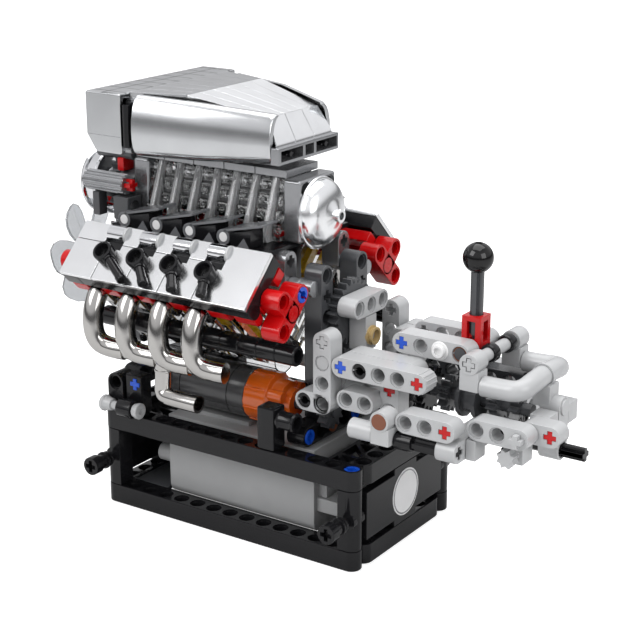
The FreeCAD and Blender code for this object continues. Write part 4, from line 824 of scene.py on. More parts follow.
@dataclass
class Stand:
    """The black stand: two frames of beams, posts, end panels, knobs and the battery box."""

    bench: Bench
    half_long: float = 56.0
    half_deep: float = 32.0
    low_row: float = 4.0
    high_row: float = 36.0
    post_low: float = 8.1
    post_high: float = 31.9
    knob_row: float = 20.0
    knob_long: float = 13.3

    def frames(self) -> None:
        """Build both levels of drilled beams."""
        long, deep, end = self.half_long, self.half_deep, self.half_deep - PITCH
        for name, z, node in (("stand_lower_beams", self.low_row, "stand_lower_frame"),
                              ("stand_upper_beams", self.high_row, "stand_upper_frame")):
            bars = [self.bench.beam((-long, y, z), (long, y, z), Axis.Z) for y in (-deep, deep)]
            bars += [self.bench.beam((x, -end, z), (x, end, z), Axis.Z) for x in (-long, long)]
            self.bench.deliver(name, bars, BLACK, Body.STAND, [node])

    def knob(self, x: float, y: float, side: int) -> bpy.types.Object:
        """Return a ringed knob with a cross-shaped hole in its end.

        Args:
            x: Its place along the stand.
            y: The place of its post across the stand.
            side: 1 on the far side, -1 on the near one.

        Returns:
            The knob in its place.
        """
        make, z = self.bench, self.knob_row
        face = y + side * 4.0
        rings = ((0.0, 6.0, 1.9), (2.6, 3.8, 3.1), (4.6, 5.8, 3.5), (5.6, 9.4, 2.8), (9.0, 13.2, 3.7))
        knob = make.join([make.bar((x, face + side * low, z), (x, face + side * high, z), radius, 32, 0.3)
                          for low, high, radius in rings])
        tip = face + side * self.knob_long
        return make.cut(knob, [make.cross((x, tip - side * 2.2, z), (x, tip + side, z), 2.4, 1.7)])

    def posts(self) -> None:
        """Build the corner posts and the knobs on their axles."""
        make, z = self.bench, self.knob_row
        posts, knobs = [], []
        for x in (-self.half_long, self.half_long):
            for y in (-self.half_deep, self.half_deep):
                posts.append(make.bar((x, y, 8.05), (x, y, 31.95), HALF - 0.05, 32, 0.25))
                inner = x - HALF if x > 0 else x + HALF
                posts.append(make.block((min(x, inner), y - HALF, self.post_low),
                                        (max(x, inner), y + HALF, self.post_high), 0.3))
                posts.append(make.bar((x, y - 3.7, z), (x, y + 3.7, z), 3.6, 24, 0.2))
                knobs.append(self.knob(x, y, 1 if y > 0 else -1))
        make.deliver("corner_post_set", posts, BLACK, Body.STAND, ["stand_posts"])
        make.deliver("corner_knob_set", knobs, BLACK, Body.STAND, ["corner_knobs"])

    def panels(self) -> None:
        """Build the notched end panels with a bare round plate on the rear one."""
        make = self.bench
        low, high = self.post_low, self.post_high
        panels = []
        for end in (-1, 1):
            inner, outer = sorted((end * 56.0, end * 59.9))
            panel = make.block((inner, -27.7, low), (outer, 27.7, high), 0.0)
            notches = []
            for side in (-1, 1):
                ys = sorted((side * 8.0, side * 29.0))
                for z in (7.0, 29.5):
                    notches.append(make.block((inner - 1, ys[0], z), (outer + 1, ys[1], z + 3.5), 0.0))
            make.cut(panel, notches)
            panels.append(make.soften(panel, 0.3))
            rib = sorted((end * 52.2, end * 56.1))
            panels.append(make.block((rib[0], -8.0, low), (rib[1], 8.0, high), 0.3))
            panels.append(make.block((inner - 0.02, -0.06, 8.3), (outer + 0.02, 0.06, 10.2), 0.0))
        make.deliver("end_panel_set", panels, BLACK, Body.STAND, ["stand_end_panels"])
        disc = make.bar((59.85, 0, 20), (60.05, 0, 20), 9.4, 64, 0.05)
        make.deliver("bare_round_plate", [disc], WHITE, Body.STAND)
        ring = make.turned([(0, 8.3), (0, 8.8), (0.2, 8.8), (0.2, 8.3)], (59.95, 0, 20), Axis.X, 64)
        make.deliver("round_plate_ring", [ring], MID, Body.STAND)

    def battery_box(self) -> None:
        """Build the smoke-grey battery box with its ledges, cradle and cable boss."""
        make = self.bench
        half = [(-25.45, 39.5), (-25.45, 9.6), (-24.8, 7.2), (-23.2, 5.95)]
        corners = half + [(-y, z) for y, z in reversed(half)]
        case = make.plate([(34.95, y, z) for y, z in corners], (-69.9, 0, 0), 0.4)
        ledge = make.block((34.0, -23.4, 14.1), (50.0, 23.4, 19.9), 0.6)
        stop = make.block((34.0, -22.0, 19.5), (38.5, 22.0, 31.5), 0.6)
        boss = make.bar((-42.9, -19.5, 20), (-34, -19.5, 20), 3.8, 32, 0.4)
        cradle = make.block((-35.9, -18.9, 39.2), (-0.1, -7.1, 41.1), 0.3)
        make.deliver("battery_case", [case, ledge, stop, boss, cradle], BOX_GREY, Body.STAND, ["battery_box"])

    def floor_strips(self) -> None:
        """Build black strips inside the lower beams, painted shade over the floor in the gaps beside the
        battery box, and the dark plate at the left end.
        """
        # Black strips inside the lower beams cover the floor in the gaps beside the box: painted shade.
        shade_strips = [self.bench.block((-55.9, y, 3.0), (55.9, y + 2.5, 7.3), 0.2) for y in (-28.15, 25.65)]
        self.bench.deliver("floor_gap_shade_strips", shade_strips, BLACK, Body.STAND)
        plate = self.bench.block((-55.0, -26.0, 5.9), (-36.2, 26.0, 7.6), 0.3)
        self.bench.deliver("left_floor_plate", [plate], DARK, Body.STAND)

    def pins(self) -> None:
        """Build the blue pins in the near corner holes."""
        ends = [self.bench.pin_end((x, -self.half_deep, 39.5), Axis.Z, 1)
                for x in (-self.half_long, self.half_long)]
        self.bench.deliver("corner_pin_set", ends, BLUE, Body.STAND, ["stand_pins"])

    def build(self) -> None:
        """Build the whole stand."""
        self.frames()
        self.posts()
        self.panels()
        self.battery_box()
        self.floor_strips()
        self.pins()


@dataclass
class Gearbox:
    """The open gearbox: light grey beams on both sides, cross beams, tubes, lever and axles."""

    bench: Bench
    shaft: float = CRANK_Z
    ball_radius: float = 5.6
    ball_z: float = 117.0

    def shared_side(self) -> list[bpy.types.Object]:
        """Build the beams that both sides have, on the near side.

        Returns:
            The beams, and the ribs round the side beam's end.
        """
        beam = self.bench.beam
        foot = beam((32, -24, 60), (40, -24, 60), Axis.Y, "oo")
        upright = beam((40, -24, 60), (40, -24, 84), Axis.Y, "ooo+")
        side = beam((48, -24, 76), (80, -24, 76), Axis.Y, "+ooo+")
        ribs = []
        for k in range(7):
            angle = math.radians(-80.0 + k * 26.0)
            x, z = 80.0 + 3.75 * math.cos(angle), 76.0 + 3.75 * math.sin(angle)
            ribs.append(self.bench.bar((x, -27.6, z), (x, -20.4, z), 0.42, 10, 0.0))
        inner = beam((48, -16, 76), (72, -16, 76), Axis.Y, "....")
        upper = beam((64, -8, 84), (88, -8, 84), Axis.Y, "+ooo")
        lower = beam((80, -32, self.shaft), (96, -32, self.shaft), Axis.Y, "oo+")
        return [foot, upright, side, inner, upper, lower, *ribs]

    def sides(self) -> None:
        """Build both sides and the near side's rear beams."""
        make, z = self.bench, self.shaft
        near = self.shared_side()
        far = [make.mirror(piece) for piece in near]
        near.append(make.beam((104, -24, z), (120, -24, z), Axis.Y, "oo+"))
        near.append(make.beam((120, -16, z), (128, -16, z), Axis.Y, "o+"))
        near.append(make.block((110.7, -19.9, 51.2), (118.3, -12.1, 59.9), 0.5))
        near.append(make.block((100.1, -27.8, 52.2), (103.9, -20.2, 59.9), 0.4))
        near.append(make.beam((64, -16, 52), (64, -16, 68), Axis.Y, "oo+"))
        make.deliver("gearbox_near_beams", near, LIGHT, Body.STAND, ["gearbox_near_side"])
        make.deliver("gearbox_far_beams", far, LIGHT, Body.STAND, ["gearbox_far_side"])

    def connectors(self) -> list[bpy.types.Object]:
        """Build the near side's round connectors with their stems and eyes.

        Returns:
            The connectors' parts and the short beam beside them.
        """
        make = self.bench
        parts = []
        for x, y, z, low in ((72.0, -36.0, self.shaft, -9.0), (96.0, -16.0, 84.0, -10.0)):
            eye = make.bar((x, y - HALF, z), (x, y + HALF, z), 3.85, 36, 0.3)
            parts.append(make.cut(eye, [make.cross((x, y - 5, z), (x, y - 2.5, z), 2.6, 2.1)]))
            parts.append(make.block((x - 3.8, y - 3.6, z + low), (x + 3.8, y + 3.6, z - 2.4), 0.5))
        parts.append(make.bar((58.5, -36, 58), (68.3, -36, 58), 3.7, 36, 0.3))
        parts.append(make.beam((49.0, -22, 63), (57.0, -22, 63), Axis.Y, "oo"))
        return parts

    def selector_room(self) -> list[bpy.types.Object]:
        """Return cutters that clear the lower cross beam of the selector ring and the output axle."""
        return [self.bench.block((90, -7.9, 56.1), (102, 7.9, 70), 0.0),
                self.bench.bar((90, 0, 52), (102, 0, 52), BORE, 32, 0.0)]

    def cross_beams(self) -> None:
        """Build the beams, blocks and connectors across the gearbox."""
        make = self.bench
        bars = [make.beam((40, -8, 92), (40, 8, 92), Axis.X, "ooo"),
                make.beam((48, -16, 64), (48, 16, 64), Axis.X, "o.o.o"),
                make.cut(make.beam((96, -32, 56), (96, 32, 56), Axis.X, "+oo...ooo"), self.selector_room()),
                make.beam((120, 0, 52), (120, 0, 68), Axis.X, "o.o")]
        near = self.connectors()
        bars += near + [make.mirror(part) for part in near]
        bars.append(make.block((36.2, -3.8, 74.1), (43.8, 3.8, 87.9), 0.5))
        for y in (-PITCH, PITCH):
            bars.append(make.block((116.2, y - 3.8, 60.2), (123.8, y + 3.8, 67.8), 0.5))
        bars.append(make.block((113.0, -3.8, 67.9), (120.0, 3.8, 76.0), 0.6))
        ring = [(0, 3.9), (0, 4.4), (1.4, 4.4), (1.4, 3.9)]
        bars.append(make.turned(ring, (115.4, -0.7, 78.4), Axis.Y, 40))
        make.deliver("gearbox_cross_beam_set", bars, LIGHT, Body.STAND, ["gearbox_cross_beams"])
        flanged = [(0, 2.4), (0, 3.8), (1.2, 3.8), (1.2, 3.0), (2.2, 3.0), (2.2, 3.4), (2.8, 3.4), (2.8, 2.4)]
        make.deliver("tan_bush", [make.turned(flanged, (43.2, 0, 80), Axis.X, 40)], TAN, Body.STAND)

    def axle_ends(self, places: Sequence[tuple[float, float, float]]) -> list[bpy.types.Object]:
        """Return short cross axles that show in the ends of the beams' cross holes.

        Args:
            places: The middles of the holes.

        Returns:
            The axles along Y.
        """
        return [self.bench.cross((x, y - 3.7, z), (x, y + 3.6, z), AXLE, 1.75) for x, y, z in places]

    def pins(self) -> None:
        """Build the coloured pins and axle ends in the beams."""
        make = self.bench
        reds = self.axle_ends(((80, -24, 76), (96, -32, 64), (128, -16, 64), (80, 24, 76), (96, 32, 64),
                               (64, -16, 68)))
        make.deliver("red_axle_set", reds, RED, Body.STAND, ["gearbox_pins"])
        make.deliver("blue_axle_set", self.axle_ends(((48, -24, 76), (64, -8, 84))), BLUE, Body.STAND)
        black = [make.pin_end((56, -27.3, 76), Axis.Y, -1), make.pin_end((32, -27.3, 60), Axis.Y, -1),
                 make.cross((76.0, -34, 56.5), (92.2, -34, 56.5)),
                 make.bar((76.0, -34, 56.5), (83.0, -34, 56.5), 3.3, 32, 0.3),
                 make.cross((92.3, -32, 56), (99.6, -32, 56))]
        make.deliver("black_pin_set", black, BLACK, Body.STAND)
        brown = [make.pin_end((88, -11.3, 84), Axis.Y, -1),
                 make.bar((72, -40.4, 64), (72, -38.5, 64), 3.0, 32, 0.5)]
        make.deliver("brown_pin_set", brown, BROWN, Body.STAND)
        stud = [(0.0, 1.5), (0.0, 2.3), (0.3, 2.5), (1.6, 2.5), (1.6, 3.2), (1.9, 3.5), (5.6, 3.5),
                (5.6, 0.0), (0.9, 0.0), (0.9, 1.5)]
        make.deliver("white_stud_pin", [make.turned(stud, (80, -13.8, 84), Axis.Y, 40)], WHITE, Body.STAND)
        grey = [make.bar((40, -27.4, 76), (40, -21, 76), 2.6, 32, 0.2),
                make.cross((40, -27.7, 84), (40, -21, 84), 2.2, 1.5),
                make.cross((96, -19.7, 84), (96, -15, 84), 2.25, 1.6),
                make.bar((123.0, 0, 68), (124.6, 0, 68), 3.0, 32, 0.25),
                make.cross((120, -30.5, 64), (120, -21, 64))]
        make.deliver("grey_axle_set", grey, LIGHT, Body.STAND)

    def tubes(self) -> None:
        """Build the bent tubes that run round the gearbox's end."""
        make = self.bench
        near = make.pipe([(100.1, -16, 76), (106, -16, 76), (114.6, -16.2, 76.6), (115.6, -8, 78.4),
                          (115.4, -0.02, 78.4)], 3.75)
        make.deliver("bent_tube_pair", [near, make.mirror(near)], LIGHT, Body.STAND, ["bent_tubes"])

    def lever(self) -> None:
        """Build the lever with its polished ball and the red block that clasps it."""
        make = self.bench
        stem = [make.cross((88, 0, 88.5), (88, 0, 114), AXLE, 1.7),
                make.bar((88, 0, 71.2), (88, 0, 90), 1.4, 20, 0.1),
                make.bar((88, -11.6, 84), (88, 11.6, 84), AXLE, 28, 0.1)]
        make.deliver("lever_stem", stem, DARK, Body.LEVER, ["shift_lever"])
        bpy.ops.mesh.primitive_uv_sphere_add(segments=48, ring_count=24, radius=self.ball_radius * MM,
                                             location=(88 * MM, 0, self.ball_z * MM))
        ball = make.settle(bpy.context.object)
        make.cut(ball, [make.bar((88, 0, 121.4), (88, 0, 124), 1.5, 24, 0.0)])
        make.deliver("lever_ball", [ball], BALL, Body.LEVER)
        block = make.block((84.1, -3.9, 80.1), (91.9, 3.9, 96.1), 0.3)
        make.cut(block, [make.block((83, -1.7, 86.5), (93, 1.7, 94.2), 0.0)])
        make.cut(block, [make.block((86.3, -5, 87.4), (89.7, 5, 94.2), 0.0)])
        make.cut(block, [make.bar((88, 0, 80), (88, 0, 97), 2.6, 24, 0.0)])
        make.deliver("lever_clasp", [block], RED, Body.LEVER, ["shift_block"])

    def axles(self) -> None:
        """Build the guide rollers, the shaft's wheels, a dark far beam that is painted shade inside the
        gearbox, and the output axle.
        """
        make = self.bench
        guide = make.bar((96, -19.0, 84), (96, 19.0, 84), AXLE, 28, 0.15)
        make.deliver("guide_axle", [guide], LIGHT, Body.GUIDE)
        ring = [(0, 2.36), (0, 3.0), (0.7, 3.48), (3.2, 3.48), (3.9, 3.0), (3.9, 2.36)]
        rollers = [make.turned(ring, (96, y, 84), Axis.Y) for y in (-5.45, 7.55)]
        make.deliver("guide_roller_set", rollers, BLACK, Body.GUIDE, ["guide_rollers"])
        wheels = [make.gear((x, 0, self.shaft), 16, 0.0) for x in (62.0, 69.0)]
        make.deliver("shaft_wheel_pair", wheels, BLACK, Body.CRANK)
        # A dark far-side beam behind the shaft's wheels: its dark is painted shade inside the gearbox.
        inner = make.beam((64, 16, 67.9), (104, 16, 67.9), Axis.Y, "oooooo")
        make.deliver("far_shade_beam", [inner], DARK, Body.STAND)
        output = [make.cross((92.2, 0, 52), (132.9, 0, 52)),
                  make.bar((92.2, 0, 52), (124.3, 0, 52), 2.3, 28, 0.1)]
        make.deliver("output_axle_bar", output, BLACK, Body.OUTPUT)

    def build(self) -> None:
        """Build the whole gearbox."""
        self.sides()
        self.cross_beams()
        self.pins()
        self.tubes()
        self.lever()
        self.axles()


@dataclass
class Banks:
    """The clear cylinder banks with their covers, brackets, taps and header pipes."""

    bench: Bench
    first: float = -52.0
    step: float = 16.0
    cover_edge: float = 11.95
    cover_end: float = 23.95
    tile_low: float = 61.2
    tile_top: float = 63.0
    barrel_y: float = 9.0
    barrel_z: float = 61.6
    header_y: float = -45.0
    header_z: float = 71.0

    @property
    def cylinders(self) -> list[float]:
        """Return the places of the cylinders along the engine."""
        return [self.first + k * self.step for k in range(4)]

    def both(self, name: str, pieces: Sequence[bpy.types.Object], finish: Finish, node: str = "") -> None:
        """Tilt upright pieces onto the near bank, mirror them for the far one and hand both over.

        Args:
            name: The name that the pieces of both sides share.
            pieces: The pieces, drawn upright over the crank.
            finish: Their material.
            node: The name that the solids they stand for share, if there are any.
        """
        near = [self.bench.settle(piece, bank_matrix()) for piece in pieces]
        far = [self.bench.mirror(piece) for piece in near]
        for side, parts in (("near", near), ("far", far)):
            nodes = [node + "_" + side] if node else []
            self.bench.deliver(name + "_" + side + "_side", parts, finish, Body.STAND, nodes)

    def tiles(self) -> None:
        """Build the polished tiles on the covers, with slots for the barrels."""
        make, edge, end = self.bench, self.cover_edge, self.cover_end
        low, top = self.tile_low, self.tile_top
        edges = [-64.0, -48.0, -32.0, -16.0, 0.0]
        tiles = []
        for left, right in zip(edges, edges[1:]):
            tiles.append(make.block((left + 0.12, -edge, low), (right - 0.12, 3.85, top), 0.25))
            tiles.append(make.block((left + 0.12, 4.05, low), (left + 13.9, edge, top), 0.25))
        tiles.append(make.block((0.12, -edge, low), (end, edge, top), 0.25))
        slots = [make.block((x + 1.9, 1.6, 58.0), (x + 10.9, 13.0, 64.0), 0.0) for x in self.cylinders]
        self.both("cover_tile", [make.cut(make.join(tiles), slots)], TILE, "cover_tiles")

    def barrels(self) -> None:
        """Build the polished barrels beside the tiles and their caps."""
        make, y, z = self.bench, self.barrel_y, self.barrel_z
        barrels = [make.bar((x + 2.05, y, z), (x + 10.7, y, z), 3.3, 40, 0.25) for x in self.cylinders]
        trim = make.block((-70, 0, 50), (40, 14, 60.8), 0.0)
        self.both("cover_barrel", [make.cut(make.join(barrels), [trim])], CHROME)
        caps = [make.bar((x + 9.8, y, z), (x + 10.95, y, z), 3.35, 40, 0.2) for x in self.cylinders]
        self.both("barrel_cap", caps, LIGHT)

    def plates(self) -> None:
        """Build the black plates below the tiles."""
        make = self.bench
        marks = [-64.0, -56.0, -40.0, -24.0, -8.0, 8.0, 24.0]
        plates = []
        for left, right in zip(marks, marks[1:]):
            plates.append(make.block((left + 0.05, -11.9, 55.6), (right - 0.05, 11.9, 61.05), 0.3))
            plates.append(make.block((left + 0.3, -8.5, 55.05), (right - 0.3, 8.5, 56.0), 0.2))
        plates.append(make.bar((17.0, -9.0, 56.2), (self.cover_end, -9.0, 56.2), 2.9, 28, 0.2))
        self.both("cover_plate", plates, BLACK, "cover_frame")

    def taps(self) -> None:
        """Build the ring-headed black taps that lie on the covers."""
        make = self.bench
        head = [(0, 2.5), (0, 3.9), (0.5, 4.0), (3.9, 4.0), (4.4, 3.7), (4.4, 2.9), (3.0, 2.4)]
        near = []
        for x, lean in zip(self.cylinders, (13.9, 8.0, 5.2, 2.6)):
            ring = make.turned(head, (x + 6.5, -1.5, self.tile_top + 0.1), Axis.Z, 40)
            centre = Vector((x + 6.5, -1.5, 65.0))
            end = Vector((x + 6.5 + lean, -11.0, 65.0))
            ray = (end - centre).normalized()
            near += [ring, make.bar(centre + ray * 3.6, end, 1.75, 24, 0.2),
                     make.bar(centre + ray * 3.4, centre + ray * 4.6, 2.2, 24, 0.2),
                     make.bar(end - ray * 2.6, end, 2.0, 24, 0.3)]
        near = [make.settle(piece, bank_matrix()) for piece in near]
        far = [make.mirror(piece) for piece in near]
        make.deliver("ignition_tap_set", near + far, BLACK, Body.STAND, ["ignition_taps"])

    def bracket_set(self, turn: int) -> list[bpy.types.Object]:
        """Build one bank's red brackets and the strips under its cover, upright over the crank.

        Args:
            turn: 1 for the brackets of the near bank, -1 for those that the far one mirrors.

        Returns:
            The brackets, strips, studs and ties.
        """
        make = self.bench
        parts = []
        for x, first, eyes in ((-68.0, -2.0, "oo"), (28.0, -10.0, "ooo")):
            parts.append(make.beam((x, first * turn, 46), (x, 6.0 * turn, 46), Axis.X, eyes))
            parts.append(make.beam((x, -2.0 * turn, 46), (x, -2.0 * turn, 54), Axis.X, ".o"))
        for low, high in ((-6.8, -1.1), (5.1, 10.9)):
            parts.append(make.block((-63.9, low, 50.2), (23.9, high, 54.8), 0.4))
            y = (low + high) / 2
            for k in range(11):
                x = -60 + 8 * k
                parts.append(make.bar((x, y, 49.9), (x, y, 52), 2.4, 20, 0.2))
        for low, high in ((-63.0, -55.5), (-48.0, -40.5), (-31.0, -24.5), (-15.5, -8.5), (2.0, 11.0),
                          (14.0, 23.5)):
            parts.append(make.block((low, -11.6, 50.3), (high, -7.4, 55.0), 0.5))
            parts.append(make.bar((low + 0.4, -9.4, 50.6), (high - 0.4, -9.4, 50.6), 2.1, 20, 0.3))
        return parts

    def brackets(self) -> None:
        """Build the red brackets at the covers' ends and the strips under them, on both banks."""
        make = self.bench
        for turn, side in ((1, "near"), (-1, "far")):
            parts = [make.settle(part, bank_matrix()) for part in self.bracket_set(turn)]
            if side == "far":
                upright, parts = parts, [make.mirror(part) for part in parts]
                make.discard(upright)
            make.deliver("head_bracket_set_" + side, parts, RED, Body.STAND, ["head_brackets_" + side])
        pin = make.settle(make.pin_end((32.2, 6.0, 46.0), Axis.X, 1), bank_matrix())
        make.deliver("bracket_pin", [pin], BLUE, Body.STAND)

    def headers(self) -> None:
        """Build the bent header pipes, their collector and the open tail elbow."""
        make, out, z = self.bench, self.header_y, self.header_z
        pipes = []
        for x in self.cylinders:
            start = bank_matrix() @ Vector((x, -11.3, 51.0))
            pipes.append(make.pipe([start, (x, -45.3, 91.0), (x, -48.5, 84.0), (x + 1.0, -48.8, 75.0),
                                    (x + 5.0, -46.6, z), (x + 13.0, out, z)], 3.95))
            port = make.block((x - 3.0, -11.4, 43.1), (x + 3.0, -8.05, 49.9), 0.3)
            pipes.append(make.settle(port, bank_matrix()))
        pipes.append(make.bar((-44, out, z), (8, out, z), 3.3, 36, 0.4))
        tail = make.pipe([(-20, out, z), (-20, -45.5, 62), (-20, -46.2, 57), (-12, -47, 57), (-2.2, -47, 57)],
                         3.35)
        pipes.append(make.cut(tail, [make.bar((-9, -47, 57), (0, -47, 57), 2.3, 28, 0.0)]))
        pipes.append(make.bar((-20, -45.3, 67.4), (-20, -45.3, 66.4), 3.6, 36, 0.2))
        far = [make.mirror(piece) for piece in pipes]
        make.deliver("header_pipes_near", pipes, PIPE, Body.STAND, ["exhaust_near"])
        make.deliver("header_pipes_far", far, PIPE, Body.STAND, ["exhaust_far"])

    def build(self) -> None:
        """Build everything on the two banks."""
        self.tiles()
        self.barrels()
        self.plates()
        self.taps()
        self.brackets()
        self.headers()


@dataclass
class Supercharger:
    """The clear ribbed supercharger with its grey frames, flaps, pulley, roller and polished dome."""

    bench: Bench
    first: float = -52.0
    last: float = 11.8
    low: float = 114.1
    high: float = 137.9
    shaft: float = 124.0
    ribs: int = 7
    pulley: float = -87.0
    roller_y: float = -17.5
    roller_z: float = 128.0
    roller_radius: float = 3.6

    @property
    def step(self) -> float:
        """Return the distance between two ribs."""
        return (self.last - self.first) / self.ribs

    def case(self) -> None:
        """Build the clear case with its ribs and small bricks, a dark tube in the bore and the red pins
        inside. The ribs' whiter clear finish is painted highlight; the dark tube stands for the dark rotor
        and painted shade inside the case.
        """
        make = self.bench
        middle = (self.low + self.high) / 2.0
        section = [(-13.4, -11.9), (13.4, -11.9), (14.2, -8.0), (8.6, 10.6), (7.4, 11.9), (-7.4, 11.9),
                   (-8.6, 10.6), (-14.2, -8.0)]
        long = self.last - self.first
        core = make.plate([(self.first, y, middle + z) for y, z in section], (long, 0, 0), 0.5)
        bore = make.bar((self.first - 1, 0, self.shaft), (self.last + 1, 0, self.shaft), 7.5, 40, 0.0)
        make.cut(core, [bore])
        ribs = []
        for k in range(self.ribs):
            x = self.first + (k + 0.5) * self.step
            rib = [(-17.2, -11.9), (-9.0, -11.9), (-7.4, 11.9), (-9.8, 11.9), (-18.4, -9.4)]
            for side in (1, -1):
                outline = [(x - 1.1, y * side, middle + z) for y, z in rib]
                ribs.append(make.plate(outline, (2.2, 0, 0), 0.4))
        # The ribs take the whiter clear finish: painted highlight on the same clear plastic as the case.
        make.deliver("clear_case_ribs", ribs, CLEAR_RIB_HIGHLIGHT, Body.STAND)
        make.deliver("clear_blower_case", [core] + self.bricks(), CLEAR, Body.STAND, ["blower_case"])
        # A dark tube lines the bore and hides the rotor: its dark stands for the rotor's own dark grey and
        # painted shade inside the clear case.
        wall = [(0, 6.95), (0, 7.4), (63.6, 7.4), (63.6, 6.95)]
        rotor_shade_tube = make.turned(wall, (self.first + 0.1, 0, self.shaft))
        make.deliver("blower_rotor_shade_tube", [rotor_shade_tube], DARK, Body.STAND)
        pins = []
        for k in range(self.ribs):
            x = self.first + (k + 0.85) * self.step
            for side in (-1, 1):
                pins.append(make.bar((x, side * 10.2, 117.0), (x, side * 13.8, 117.0), 1.1, 16, 0.1))
        make.deliver("blower_red_pins", pins, RED, Body.STAND)

    def bricks(self) -> list[bpy.types.Object]:
        """Build the rows of small clear bricks between the ribs, with their studs.

        Returns:
            The bricks and studs of both flanks.
        """
        make = self.bench
        parts = []
        for k in range(self.ribs + 1):
            x = self.first + k * self.step
            low, high = max(self.first, x - 2.6), min(self.last, x + 2.6)
            for row in range(4):
                z = self.low + 4.6 + row * 5.2
                reach = 14.6 - 0.31 * (z - self.low - 3.0)
                for side in (-1, 1):
                    ys = sorted((side * (reach - 1.4), side * (reach + 0.4)))
                    parts.append(make.block((low, ys[0], z - 2.2), (high, ys[1], z + 2.0), 0.3))
                    if self.first < x < self.last:
                        tip = side * (reach + 1.3)
                        parts.append(make.bar((x, side * reach, z), (x, tip, z), 1.2, 16, 0.15))
        return parts

    def frames(self) -> None:
        """Build the grey end frames, the plates on top and the roller's bracket."""
        make = self.bench
        parts = []
        quarter = Matrix.Rotation(math.radians(90.0), 4, "Y")
        for x in (self.first - PITCH, self.last + 0.1):
            frame = make.block((x, -12.0, self.low), (x + 2 * HALF, 12.0, self.high), 0.0)
            frame = make.soften(frame, 1.2, 4)
            cutters = [make.bar((x - 1, 0, self.shaft), (x + 9, 0, self.shaft), BORE, 32, 0.0)]
            for y in (-8.0, 8.0):
                for z in (self.low + HALF, self.high - HALF):
                    place = Matrix.Translation((x + HALF, y, z)) @ quarter
                    cutters.append(make.settle(make.hole_cutter(), place))
            parts.append(make.cut(frame, cutters))
        top = self.high + 0.1
        for k in range(5):
            left = self.first - PITCH + k * 14.56
            parts.append(make.block((left + 0.1, -10.5, top), (left + 14.46, 10.5, top + 3.0), 0.3))
        parts.append(make.block((self.first, -8.0, top + 2.9), (self.last - 6.0, 8.0, 144.4), 0.4))
        make.deliver("blower_frame_set", parts, MID, Body.STAND, ["blower_frames"])
        x = self.first - PITCH
        carrier = make.block((x - HALF, -20.5, self.low), (x + HALF, -12.1, 123.4), 0.0)
        make.soften(carrier, 0.6, 3)
        make.cut(carrier, [make.bar((x - 5, -16.4, 119), (x + 5, -16.4, 119), 2.7, 28, 0.0)])
        post = make.block((x - 15.5, -19.4, self.low), (x - 12.0, -14.6, 123.6), 0.4)
        tie = make.bar((-78.5, -10, 138.6), (-60.4, -10, 138.6), 2.6, 32, 0.3)
        make.deliver("roller_bracket", [carrier, post, tie], DARK, Body.STAND)
        red = make.block((-67.4, -13.0, 131.8), (-64.2, -6.6, 137.0), 0.4)
        make.deliver("red_tie_block", [red], RED, Body.STAND)

    def flaps(self) -> None:
        """Build the dark flaps along both sides with their clips, skirts and white pins."""
        make = self.bench
        plate_shape = ((1.0, 0, 2.7), (18.5, 0, 2.7), (18.5, 0, 1.8), (1.0, 0, 1.8))
        skirt_shape = ((3.2, 0.1, -2.9), (12.6, 0.1, -2.9), (12.6, 0.1, 4.0), (3.2, 0.1, 2.0))
        web_shape = ((6.6, -0.3, -2.95), (12.0, -0.3, -2.95), (9.6, -0.3, 0.8))
        flaps, pins, skirts = [], [], []
        for k in range(4):
            pivot = Vector((-52.0 + 16.0 * k, -28.0, self.low + 3.0))
            ring = make.turned([(0, 2.0), (0, 3.0), (4.0, 3.0), (4.0, 2.0)], pivot, Axis.Y, 36)
            tilt = Matrix.Translation(pivot) @ Matrix.Rotation(math.radians(-13.0), 4, "Y")
            plate = make.plate(plate_shape, (0, 11.0, 0), 0.15)
            skirt = make.plate([pivot + Vector(corner) for corner in skirt_shape], (0, 8.0, 0), 0.1)
            web = make.plate([pivot + Vector(corner) for corner in web_shape], (0, 0.5, 0), 0.0)
            flaps += [ring, make.settle(plate, tilt), web]
            skirts.append(skirt)
            pins.append(make.bar(pivot, pivot + Vector((0, 4, 0)), 1.9, 28, 0.25))
        for name, near, finish, nodes in (("flap_set", flaps, FLAP, ["intake_flaps"]),
                                          ("flap_skirts", skirts, BLACK, []),
                                          ("flap_pin_set", pins, WHITE, [])):
            far = [make.mirror(piece) for piece in near]
            make.deliver(name, near + far, finish, Body.STAND, nodes)

    def manifold(self) -> None:
        """Build the dark block in the valley with its grooves and the flange above it."""
        make = self.bench
        block = make.block((-59.9, -11.9, 88.1), (3.9, 11.9, 112.0), 0.4)
        grooves = []
        for k in range(7):
            for side in (-1, 1):
                ys = sorted((side * 11.2, side * 13.0))
                grooves.append(make.block((-52.3 + 8 * k, ys[0], 90.0), (-51.7 + 8 * k, ys[1], 110.0), 0.0))
        parts = [make.cut(block, grooves)]
        for k in range(4):
            left, right = -60.0 + 19 * k + 0.08, -41.0 + 19 * k - 0.08
            parts.append(make.block((left, -27.0, 112.0), (right, 27.0, 114.0), 0.3))
        make.deliver("valley_block", parts, BLACK, Body.STAND, ["intake_manifold"])

